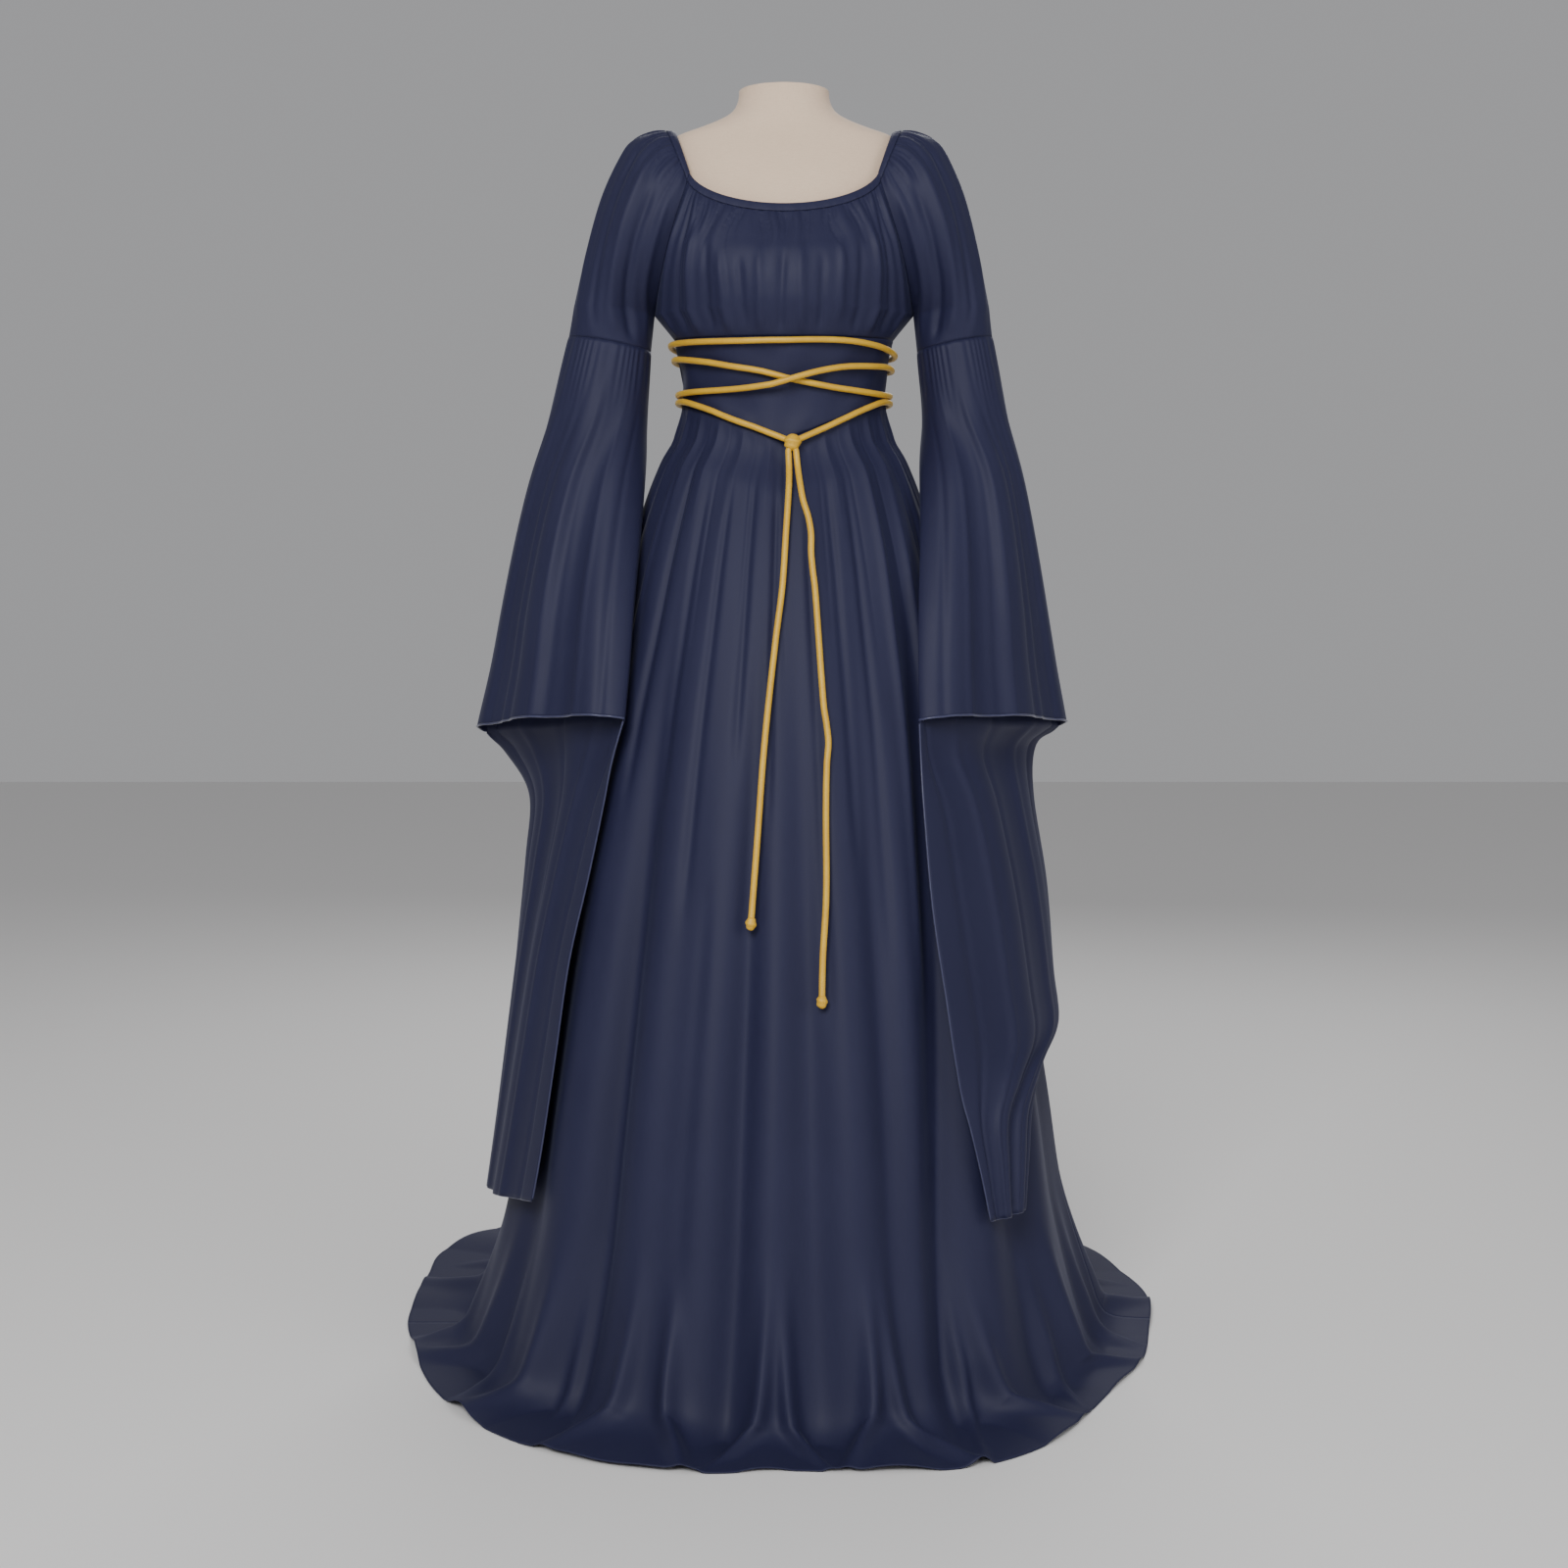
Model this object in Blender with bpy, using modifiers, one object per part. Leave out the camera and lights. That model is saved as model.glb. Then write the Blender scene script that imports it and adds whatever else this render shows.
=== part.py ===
"""A floor-length medieval gown with raglan bell sleeves, on a limbless dress form and its stand.

Metres, +Z up. The front faces -Y and the stand's foot is centred on the origin. Left and right are the
wearer's, so the left sleeve is at +X. Angles round the body are in degrees from the centre front: 90 is
the wearer's left side, 180 the centre back and -90 the right side.
"""
import math

import bmesh
import bpy
from mathutils import Vector

# Cloth
WALL = 0.0016               # one layer of cloth
SEAM_GAP = 0.0003           # between two pieces that a seam joins
PANEL_GATHERS = 12          # in each of the bodice's and sleeves' top edges, and in half the waist
SKIRT_COLUMNS = 48          # mesh columns in half the skirt

# Body: the seams' heights and half sizes
UNDERARM = (0.160, 1.277)           # half width and height of the point where sleeve and bodice meet
BODICE_END = (0.135, 1.247)         # half width and height of the bodice's lower seam at the sides
WAIST_SEAM_HEIGHT = 1.166           # at the sides
WAIST_POINT_DROP = 0.050            # how far the waist panel dips to its point at the centre front
WAIST_BACK_DROP = 0.008             # and at the centre back
LEFT_SLEEVE_SLIMMER = 0.0085        # the left elbow sits this much nearer to the body

# Neck and sleeve head. Row 0 is the neck's edge, row 1 the casing's seam, row 7 the underarm and
# row 8 the elbow seam. Columns: row, half the angle that the sleeve wraps, the sleeve's half depth,
# raglan seam's half width, its front height, its back height, sleeve's outer half width, its height,
# and how round the sleeve is near the seam (1 is an ellipse, less leaves the seam at a wider angle)
SLEEVE_HEAD = (
    (0, 80, 0.0670, 0.1130, 1.437, 1.476, 0.1330, 1.497, 1.0),
    (1, 84, 0.0700, 0.1155, 1.428, 1.467, 0.1430, 1.499, 1.0),
    (2, 92, 0.0740, 0.1200, 1.413, 1.450, 0.1620, 1.497, 1.0),
    (3, 108, 0.0775, 0.1300, 1.383, 1.417, 0.1840, 1.488, 1.0),
    (4, 122, 0.0790, 0.1390, 1.355, 1.383, 0.2000, 1.467, 0.95),
    (5, 140, 0.0760, 0.1480, 1.324, 1.345, 0.2230, 1.419, 0.88),
    (6, 160, 0.0660, 0.1555, 1.296, 1.306, 0.2430, 1.354, 0.80),
    (7, 180, 0.0540, UNDERARM[0], UNDERARM[1], UNDERARM[1], 0.2600, 1.285, 0.75),
)
ELBOW = (0.0465, 0.1650, 1.233, 0.2665, 1.251)  # half depth, inner and outer half width and height

# The bodice's centre lines, on the same rows; row 8 is its lower seam.
# Columns: row, bow angle, front depth, front height, back depth, back height
BODICE_CENTRE = (
    (0, 80, 0.0980, 1.395, 0.0790, 1.469),
    (1, 80, 0.1010, 1.386, 0.0820, 1.460),
    (2, 82, 0.1080, 1.372, 0.0880, 1.445),
    (3, 84, 0.1200, 1.352, 0.0960, 1.413),
    (4, 86, 0.1290, 1.335, 0.1020, 1.378),
    (5, 84, 0.1340, 1.313, 0.1045, 1.342),
    (6, 80, 0.1345, 1.292, 0.1030, 1.306),
    (7, 80, 0.1310, 1.272, 0.1000, 1.275),
    (8, 90, 0.1170, 1.237, 0.0925, 1.241),
)

# Waist panel. Columns: share of the way down, half width, front depth, back depth
WAIST_PANEL = (
    (0.0, 0.1350, 0.117, 0.0925),
    (0.4, 0.1280, 0.108, 0.0885),
    (0.7, 0.1255, 0.104, 0.0870),
    (1.0, 0.1255, 0.105, 0.0875),
)

# Skirt. Columns: height, half width, front depth, back depth
SKIRT = (
    (1.120, 0.139, 0.107, 0.103),
    (1.060, 0.165, 0.130, 0.132),
    (0.980, 0.191, 0.157, 0.162),
    (0.900, 0.212, 0.180, 0.188),
    (0.780, 0.242, 0.212, 0.222),
    (0.620, 0.273, 0.248, 0.268),
    (0.450, 0.304, 0.286, 0.315),
    (0.300, 0.329, 0.318, 0.356),
    (0.170, 0.348, 0.344, 0.398),
    (0.080, 0.368, 0.362, 0.440),
    (0.040, 0.383, 0.376, 0.465),
)
FLOOR_TURN = 0.040          # the height where the skirt starts to turn out over the floor
SETTLE = 0.07               # the skirt leaves the waist's shape over this drop
# Where the hem lies on the floor. Columns: angle, distance from the stand's axis
HEM = (
    (-180, 0.610), (-137, 0.597), (-122, 0.575), (-112, 0.530), (-101, 0.500), (-90, 0.484),
    (-78, 0.468), (-60, 0.472), (-41, 0.485), (-24, 0.488), (-10, 0.478), (0, 0.464), (14, 0.482),
    (25, 0.498), (37, 0.488), (50, 0.460), (60, 0.450), (73, 0.458), (87, 0.466), (104, 0.500),
    (123, 0.526), (140, 0.575), (180, 0.610),
)
# Stations down the skirt: 0 is the waist seam, 1 the floor turn and 2 the hem
SKIRT_STATIONS = (0, 0.04, 0.12, 0.24, 0.38, 0.52, 0.66, 0.80, 0.92, 1.0, 1.2, 1.55, 2.0)
# The skirt's largest folds. Columns: angle at the waist, angle at the hem, half spread, relief
SKIRT_FOLDS = (
    (-118, -116, 6, -0.014), (-104, -103, 6, 0.012), (-92, -91, 5, -0.008), (-80, -79, 5, 0.006),
    (-64, -64, 5, -0.008), (-50, -51, 6, 0.009), (-36, -38, 5, -0.020), (-29, -30, 4, 0.009),
    (-21, -21, 4, -0.006), (-14, -15, 4, 0.012), (-6, -9, 3, -0.012), (0, -2, 3, 0.006),
    (3, 6, 5, -0.013), (13, 14, 5, 0.012), (20, 20, 3, -0.006), (33, 24, 4, 0.010),
    (46, 31, 5, -0.019), (56, 41, 5, 0.010), (62, 52, 5, -0.008), (70, 63, 5, 0.007),
    (82, 78, 5, -0.007), (94, 93, 5, 0.010), (108, 108, 6, -0.012), (122, 122, 6, 0.014),
    (138, 138, 5, -0.016), (150, 151, 6, 0.014), (163, 164, 5, -0.014), (176, 178, 6, 0.014),
    (191, 191, 5, -0.016), (205, 206, 7, 0.014), (220, 219, 5, -0.014), (231, 232, 5, 0.012),
)
# Relief of the waist's gathers. Columns: station, relief
SKIRT_GATHERS = ((0, 0), (0.04, 0.0035), (0.12, 0.006), (0.3, 0.005), (0.5, 0.0025), (0.75, 0))
# Relief of the gathers below the neck's casing. Columns: row, relief
NECK_GATHERS = ((1, 0), (1.6, 0.0024), (2.5, 0.0036), (4, 0.0032), (6, 0.0026), (7.4, 0.0016), (8, 0))
TOP_ROWS = (1, 1.6, 2.4, 3.3, 4.2, 5.1, 6.0, 7.0, 8.0)
WAIST_ROWS = (0, 0.5, 1)

# Lower sleeves, from the elbow seam to the front hem. Columns: height, rise of the outer end over the
# middle, inner end x and y, outer end x and y, front bulge, back bulge; x is on the sleeve's own side
LOWER_SLEEVE = {
    "right": (
        (1.242, 0.009, 0.165, 0.000, 0.2665, 0.000, 0.0465, 0.0465),
        (1.150, 0.002, 0.170, -0.010, 0.292, 0.004, 0.052, 0.044),
        (1.060, 0.000, 0.174, -0.058, 0.314, 0.012, 0.054, 0.020),
        (0.930, 0.000, 0.180, -0.122, 0.340, 0.018, 0.052, 0.004),
        (0.850, 0.000, 0.184, -0.150, 0.357, 0.018, 0.048, 0.003),
        (0.775, -0.012, 0.188, -0.172, 0.379, 0.015, 0.042, 0.003),
    ),
    "left": (
        (1.242, 0.009, 0.165, 0.000, 0.258, 0.000, 0.0465, 0.0465),
        (1.150, 0.002, 0.172, -0.008, 0.278, 0.004, 0.052, 0.044),
        (1.060, 0.000, 0.168, -0.071, 0.292, 0.010, 0.054, 0.010),
        (0.930, 0.000, 0.160, -0.137, 0.315, 0.016, 0.052, -0.012),
        (0.850, 0.000, 0.158, -0.163, 0.331, 0.018, 0.048, -0.014),
        (0.778, -0.008, 0.158, -0.186, 0.347, 0.015, 0.044, -0.016),
    ),
}
FRONT_HEM_ARCH = 0.010      # the front hem rises this much between its ends
SLEEVE_EDGE_ROUNDING = 0.018    # extra bulge of the back layer where it turns into the front one
# The sleeve's long tail, below the front hem. Columns: height, rise of the outer edge over the
# middle, inner edge x and y, outer edge x and y, bulge towards the skirt, how flat it hangs
SLEEVE_TAIL = {
    "right": (
        (0.735, 0.000, 0.203, -0.167, 0.354, 0.030, 0.002, 0.35),
        (0.680, 0.000, 0.214, -0.168, 0.326, 0.045, -0.010, 0.8),
        (0.600, 0.000, 0.231, -0.170, 0.331, 0.045, -0.014, 1.0),
        (0.500, 0.000, 0.254, -0.177, 0.340, 0.045, -0.017, 1.0),
        (0.390, 0.000, 0.270, -0.186, 0.350, 0.048, -0.022, 1.0),
        (0.280, -0.004, 0.286, -0.192, 0.361, 0.050, -0.026, 1.0),
        (0.196, -0.020, 0.298, -0.195, 0.373, 0.050, -0.028, 1.0),
    ),
    "left": (
        (0.740, 0.004, 0.160, -0.191, 0.320, 0.030, -0.014, 0.35),
        (0.680, 0.000, 0.163, -0.205, 0.319, 0.045, -0.030, 0.8),
        (0.570, 0.000, 0.172, -0.226, 0.336, 0.045, -0.040, 1.0),
        (0.460, 0.000, 0.188, -0.243, 0.344, 0.042, -0.043, 1.0),
        (0.405, 0.000, 0.196, -0.251, 0.348, 0.025, -0.042, 1.0),
        (0.368, 0.014, 0.205, -0.257, 0.320, -0.090, -0.028, 1.0),
        (0.325, 0.004, 0.214, -0.263, 0.296, -0.170, -0.014, 1.0),
        (0.270, 0.000, 0.226, -0.270, 0.288, -0.203, -0.009, 1.0),
        (0.216, 0.000, 0.237, -0.276, 0.282, -0.222, -0.006, 1.0),
    ),
}
# Hanging folds of the lower sleeves. Columns: place round the sleeve, half spread, relief; -90 is the
# middle of its front and 90 the middle of its back
SLEEVE_FOLDS = (
    (-135, 16, 0.006), (-112, 14, -0.006), (-88, 16, 0.006), (-62, 14, -0.006), (-35, 14, 0.004),
    (45, 16, -0.004), (80, 18, 0.005), (112, 16, -0.004), (145, 16, 0.004),
)

# Cord: one length wound twice round the waist each way, crossing at the centre front and back
CORD_RADIUS = 0.00375
CORD_CLEAR = 0.0022         # between the cord's points and the cloth under them
CROSSING_LIFT = 0.0100      # of the strand that passes over
CORD_STEP = 16              # degrees between the cord's points
# Columns: turn from the middle of the cord at the centre front, height
CORD_TO_LEFT = ((0, 1.232), (31, 1.2339), (55, 1.2314), (72, 1.2284), (90, 1.2270), (150, 1.2275),
                (180, 1.2235), (210, 1.2195), (270, 1.2215), (285, 1.2205), (316, 1.2112),
                (333, 1.2035), (348, 1.1972), (362, 1.1885), (376, 1.1825), (392, 1.1782),
                (423, 1.1760), (450, 1.1785), (510, 1.1795), (540, 1.1745), (570, 1.1695),
                (630, 1.1700), (652, 1.1680), (675, 1.1560), (693, 1.1409), (710, 1.1275))
CORD_TO_RIGHT = ((0, 1.232), (26, 1.2325), (76, 1.2387), (90, 1.2395), (150, 1.2305), (180, 1.2235),
                 (210, 1.2160), (270, 1.2095), (290, 1.2098), (317, 1.2061), (328, 1.2038),
                 (339, 1.1991), (348, 1.1936), (358, 1.1860), (366, 1.1805), (387, 1.1770),
                 (427, 1.1785), (450, 1.1798), (510, 1.1795), (540, 1.1745), (570, 1.1695),
                 (630, 1.1690), (653, 1.1675), (672, 1.1564), (688, 1.1420), (702, 1.1275))
# Columns: turn, the half that passes over, and over how many degrees it rises
CROSSINGS = ((180, "left", 28), (360, "right", 19), (540, "left", 28))
KNOT = (0.0100, 1.113)      # x and height of the knot
KNOT_SIZE = (0.0100, 0.0078, 0.0098)
KNOT_CLEAR = 0.0135         # from the gown's smooth surface to the knot's middle
TAIL_CLEAR = 0.0030
TAIL_STEP = 0.020
# The two hanging ends. Columns: height, x
TAIL = {
    "right": ((1.1028, 0.0052), (1.068, 0.006), (1.000, 0.002), (0.940, -0.002), (0.885, -0.009),
              (0.765, -0.022), (0.645, -0.031), (0.566, -0.037)),
    "left": ((1.1028, 0.0142), (1.085, 0.016), (1.045, 0.022), (1.012, 0.031), (0.975, 0.032),
             (0.940, 0.036), (0.802, 0.046), (0.766, 0.051), (0.735, 0.049), (0.680, 0.048),
             (0.590, 0.048), (0.520, 0.044), (0.480, 0.043)),
}
TAIL_KNOT_SIZE = (0.0062, 0.0056, 0.0080)

# Dress form. Columns: height, half width, front depth, back depth
FORM = (
    (0.930, 0.100, 0.080, 0.080), (0.937, 0.135, 0.098, 0.102), (0.960, 0.150, 0.108, 0.114),
    (1.040, 0.143, 0.102, 0.106), (1.110, 0.120, 0.086, 0.084), (1.170, 0.111, 0.083, 0.074),
    (1.235, 0.117, 0.092, 0.079), (1.280, 0.130, 0.108, 0.088), (1.320, 0.139, 0.114, 0.092),
    (1.360, 0.146, 0.108, 0.091), (1.395, 0.154, 0.091, 0.088), (1.430, 0.160, 0.080, 0.083),
    (1.457, 0.160, 0.070, 0.076), (1.475, 0.154, 0.062, 0.070), (1.4865, 0.1445, 0.057, 0.065),
    (1.4945, 0.1343, 0.054, 0.061), (1.5020, 0.1090, 0.052, 0.059), (1.510, 0.0870, 0.051, 0.057),
    (1.517, 0.0710, 0.050, 0.056), (1.526, 0.0605, 0.049, 0.055), (1.538, 0.0560, 0.049, 0.055),
    (1.5485, 0.0555, 0.049, 0.055),
)
FORM_COLUMNS = 28

# Stand
POLE_RADIUS = 0.016
FOOT_RADIUS = 0.150
FOOT_HEIGHT = 0.016
FOOT_EDGE = 0.003

SIDES = {"left": 1, "right": -1}

# Colours: linear red, green, blue; roughness; metallic
FINISHES = {
    "navy_cloth": ((0.020, 0.022, 0.075), 0.72, 0.0),
    "gold_cord": ((0.62, 0.38, 0.02), 0.55, 0.0),
    "linen": ((0.72, 0.56, 0.40), 0.85, 0.0),
    "black_metal": ((0.03, 0.03, 0.03), 0.45, 0.6),
}


def read_table(rows, at):
    """A table's other columns at a value of its first, on a smooth curve through its rows."""
    rows = sorted(rows)
    keys = [row[0] for row in rows]
    at = min(max(at, keys[0]), keys[-1])
    last = len(rows) - 1
    low = max(i for i in range(last) if keys[i] <= at)
    span = keys[low + 1] - keys[low]
    t = (at - keys[low]) / span

    def slope(i, column):
        before = rows[max(i - 1, 0)]
        after = rows[min(i + 1, last)]
        return (after[column] - before[column]) / (after[0] - before[0])

    values = []
    for column in range(1, len(rows[0])):
        start = rows[low][column]
        end = rows[low + 1][column]
        out = slope(low, column) * span
        into = slope(low + 1, column) * span
        values.append(start + t * out + t * t * (3 * (end - start) - 2 * out - into)
                      + t ** 3 * (2 * (start - end) + out + into))
    return values


def mix(low, high, share):
    return low + (high - low) * share


def ease(share):
    share = min(max(share, 0), 1)
    return share * share * (3 - 2 * share)


def uneven(index, least):
    """A steady pseudo-random size for each gather, between least and 1."""
    return least + (1 - least) * (0.5 + 0.5 * math.sin(index * 2.4 + 0.9))


def bell(distance, spread):
    return math.exp(-(distance / spread) ** 2)


def turn_between(angle, other):
    return (angle - other + 180) % 360 - 180


def ring_point(angle, half_width, front, back, height):
    turn = math.radians(angle)
    depth = front if math.cos(turn) > 0 else back
    return Vector((half_width * math.sin(turn), -depth * math.cos(turn), height))


def raglan_point(side, row, facing):
    """A point on the seam between sleeve and bodice; facing is -1 for the front and 1 for the back."""
    turn, depth, seam_x, front_z, back_z = read_table(SLEEVE_HEAD, row)[:5]
    height = front_z if facing < 0 else back_z
    return Vector((side * seam_x, facing * depth * math.sin(math.radians(turn)), height))


def upper_sleeve_point(side, swing, row):
    """swing runs from -1 at the front seam over 0 at the outer side to 1 at the back seam."""
    head = read_table(SLEEVE_HEAD, row)
    past = max(row - SLEEVE_HEAD[-1][0], 0)
    wrap = math.radians(head[0])
    depth = mix(head[1], ELBOW[0], past)
    seam_x = mix(head[2], ELBOW[1], past)
    seam_z = mix(head[3] if swing < 0 else head[4], ELBOW[2], past)
    outer_x = mix(head[5], ELBOW[3], past)
    outer_z = mix(head[6], ELBOW[4], past)
    if side > 0:
        outer_x -= LEFT_SLEEVE_SLIMMER * max(row - 4, 0) / 4
    share = max((math.cos(swing * wrap) - math.cos(wrap)) / (1 - math.cos(wrap)), 0)
    share = share ** mix(head[7], 1, past)
    return Vector((side * mix(seam_x, outer_x, share), depth * math.sin(swing * wrap),
                   mix(seam_z, outer_z, share)))


def bodice_point(across, row, facing):
    """across runs from -1 at the right seam to 1 at the left one."""
    bow, front_y, front_z, back_y, back_z = read_table(BODICE_CENTRE, row)
    side = 1 if across > 0 else -1
    seam = raglan_point(side, row, facing)
    past = max(row - SLEEVE_HEAD[-1][0], 0)
    seam.x = mix(seam.x, side * BODICE_END[0], past)
    seam.z = mix(seam.z, BODICE_END[1], past)
    centre_y = -front_y if facing < 0 else back_y
    centre_z = front_z if facing < 0 else back_z
    bow = math.radians(bow)
    share = (math.cos(across * bow) - math.cos(bow)) / (1 - math.cos(bow))
    return Vector((side * seam.x * math.sin(across * bow) / math.sin(bow),
                   mix(seam.y, centre_y, share), mix(seam.z, centre_z, share)))


def waist_top(angle):
    """Height of the seam between bodice and waist panel."""
    facing = math.cos(math.radians(angle))
    centre = BODICE_CENTRE[-1][3] if facing > 0 else BODICE_CENTRE[-1][5]
    return mix(BODICE_END[1], centre, abs(facing))


def waist_seam(angle):
    """Height of the seam between waist panel and skirt."""
    drop = WAIST_POINT_DROP if math.cos(math.radians(angle)) > 0 else WAIST_BACK_DROP
    return WAIST_SEAM_HEIGHT - drop * (1 - abs(math.sin(math.radians(angle))))


def waist_point(angle, down):
    half_width, front, back = read_table(WAIST_PANEL, down)
    return ring_point(angle, half_width, front, back, mix(waist_top(angle), waist_seam(angle), down))


def skirt_point(angle, station):
    """The skirt's smooth shape, without its folds."""
    top = waist_seam(angle)
    height = mix(top, FLOOR_TURN, min(station, 1))
    waist = read_table(WAIST_PANEL, 1)
    flare = read_table(SKIRT, height)
    leave = ease((top - height) / SETTLE)
    point = ring_point(angle, *[mix(a, b, leave) for a, b in zip(waist, flare)], height)
    if station <= 1:
        return point
    out = station - 1
    reach = read_table(HEM, turn_between(angle, 0))[0]
    hem = ring_point(angle, reach, reach, reach, WALL)
    point = point.lerp(hem, out)
    point.z = mix(FLOOR_TURN, WALL, 1 - max(1 - out / 0.35, 0) ** 2)
    return point


def skirt_relief(angle, station):
    """How far the folds and gathers stand out of the skirt's smooth shape."""
    place = (angle + 90) / 180 * PANEL_GATHERS
    wave = 0.5 - 0.5 * math.cos(2 * math.pi * place)
    relief = read_table(SKIRT_GATHERS, station)[0] * wave * uneven(math.floor(place), 0.55)
    for at_waist, at_hem, spread, size in SKIRT_FOLDS:
        centre = mix(at_waist, at_hem, min(station, 1))
        grown = ease(station / 0.8) * (1 - 0.45 * max(station - 1, 0))
        relief += size * grown * bell(turn_between(angle, centre), spread)
    return relief


def place_key(point):
    return tuple(round(value, 5) for value in point)


def cut_rims(edges, panel, count):
    """The wall's edges, each split from the same end as its neighbour's across the seam."""
    triangles = []
    for i, j in edges:
        if panel.place_key(i) < panel.place_key(j):
            triangles += [(j, i, i + count), (j, i + count, j + count)]
        else:
            triangles += [(j, i, j + count), (i, i + count, j + count)]
    return triangles


class Panel:
    """One cut piece: a net of points on the gown's smooth surface, each with its relief."""

    def __init__(self, name):
        self.name = name
        self.points = []
        self.reliefs = []
        self.faces = []

    def row(self, points, reliefs=None):
        start = len(self.points)
        self.points += points
        self.reliefs += reliefs or [0.0] * len(points)
        return list(range(start, len(self.points)))

    def skin(self, rows):
        """Quads between rows that run anticlockwise seen from above, the top one first."""
        for upper, lower in zip(rows, rows[1:]):
            for i in range(len(upper) - 1):
                self.faces.append((upper[i], lower[i], lower[i + 1], upper[i + 1]))

    def place_key(self, index):
        return place_key(self.points[index])


def join_normals(panels):
    """Outward directions at every point, shared by the panels that meet there. Each is lengthened as a
    mitre is, so that a wall measured square to its own panel keeps its thickness."""
    shared = {}
    for panel in panels:
        own = {}
        for face in panel.faces:
            corners = [panel.points[i] for i in face]
            normal = (corners[2] - corners[0]).cross(corners[3] - corners[1])
            for i in face:
                key = panel.place_key(i)
                own[key] = own.get(key, Vector()) + normal
        for key, normal in own.items():
            shared.setdefault(key, []).append(normal.normalized())
    mitres = {}
    for key, normals in shared.items():
        total = sum(normals, Vector())
        mitres[key] = total.normalized() / max(total.length / len(normals), 0.5)
    for side in SIDES.values():
        mitres[place_key((side * UNDERARM[0], 0, UNDERARM[1]))] = Vector((0, 0, -1.5))
    return [[mitres[panel.place_key(i)] for i in range(len(panel.points))] for panel in panels]


def edge_pulls(panel, normals):
    """For each point on the panel's edge, the step that parts it from its neighbour by half the gap."""
    uses = {}
    for face in panel.faces:
        for i, j in zip(face, face[1:] + face[:1]):
            uses.setdefault(frozenset((i, j)), []).append((i, j))
    edges = [found[0] for found in uses.values() if len(found) == 1]
    inward = {}
    for i, j in edges:
        for end in (i, j):
            across = normals[end].cross(panel.points[j] - panel.points[i]).normalized()
            inward.setdefault(end, []).append(across)
    pulls = {}
    for i, ways in inward.items():
        total = ways[0] + ways[1]
        pulls[i] = total * (SEAM_GAP / 2 / max(1 + ways[0].dot(ways[1]), 0.5))
    return pulls, edges


def cut_quads(faces, points):
    """Splits each quad along its shorter diagonal, so that both sides of a wall are split alike."""
    triangles = []
    for a, b, c, d in faces:
        if (points[a] - points[c]).length <= (points[b] - points[d]).length:
            triangles += [(a, b, c), (a, c, d)]
        else:
            triangles += [(a, b, d), (b, c, d)]
    return triangles


def sew(panels):
    """Raises the panels' relief and makes each a closed wall. The walls' thickness follows normals
    that neighbours share, so that their edges meet square across the seam."""
    for panel, normals in zip(panels, join_normals(panels)):
        for i, normal in enumerate(normals):
            above_floor = (panel.points[i].z - WALL) / max(normal.z, 0.15)
            panel.points[i] = panel.points[i] + normal * max(panel.reliefs[i], -above_floor)
    for panel, normals in zip(panels, join_normals(panels)):
        pulls, edges = edge_pulls(panel, normals)
        outer = [point + pulls.get(i, Vector()) for i, point in enumerate(panel.points)]
        inner = [point - normal * WALL for point, normal in zip(outer, normals)]
        count = len(outer)
        faces = cut_quads(panel.faces, outer)
        faces += [tuple(i + count for i in reversed(face)) for face in faces]
        faces += cut_rims(edges, panel, count)
        add_object(panel.name, outer + inner, faces, "navy_cloth")


def add_object(name, points, faces, finish, smooth_angle=30):
    mesh = bpy.data.meshes.new(name)
    mesh.from_pydata([tuple(point) for point in points], [], faces)
    mesh.update()
    return link_mesh(name, mesh, finish, smooth_angle)


def link_mesh(name, mesh, finish, smooth_angle=30):
    mesh.shade_smooth()
    mesh.set_sharp_from_angle(angle=math.radians(smooth_angle))
    mesh.materials.append(bpy.data.materials[finish])
    thing = bpy.data.objects.new(name, mesh)
    bpy.data.collections["medieval_gown"].objects.link(thing)
    return thing


def halve(points):
    """Puts every second point midway between its neighbours, to meet a piece with half the columns."""
    return [point if i % 2 == 0 else (points[i - 1] + points[i + 1]) / 2 for i, point in enumerate(points)]


def neck_gather(column, row):
    """Ridges on odd columns, valleys on even ones; smooth beside the seams lower down."""
    from_seam = min(column, 2 * PANEL_GATHERS - column)
    fade = ease((from_seam - max(row - 3.5, 0)) / 2)
    return (column % 2) * read_table(NECK_GATHERS, row)[0] * uneven(column, 0.5) * fade


def bodice_panel(name, facing):
    panel = Panel(name)
    columns = 2 * PANEL_GATHERS
    rows = []
    for row in TOP_ROWS:
        spots = [-1 + 2 * i / columns for i in range(columns + 1)]
        if facing > 0:
            spots.reverse()
        points = [bodice_point(spot, row, facing) for spot in spots]
        if row == 1:
            points = halve(points)
        rows.append(panel.row(points, [neck_gather(i, row) for i in range(columns + 1)]))
    panel.skin(rows)
    return panel


def upper_sleeve_panel(name, side):
    panel = Panel(name)
    columns = 2 * PANEL_GATHERS
    rows = []
    for row in TOP_ROWS:
        points = [upper_sleeve_point(side, -1 + 2 * i / columns, row) for i in range(columns + 1)]
        if row == 1:
            points = halve(points)
        reliefs = [neck_gather(i, row) for i in range(columns + 1)]
        if row < SLEEVE_HEAD[-1][0]:
            found = panel.row(points, reliefs)
        else:
            found = panel.row(points[:-1], reliefs[:-1])
            found.append(found[0])
        rows.append(found if side > 0 else found[::-1])
    panel.skin(rows)
    return panel


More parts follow.
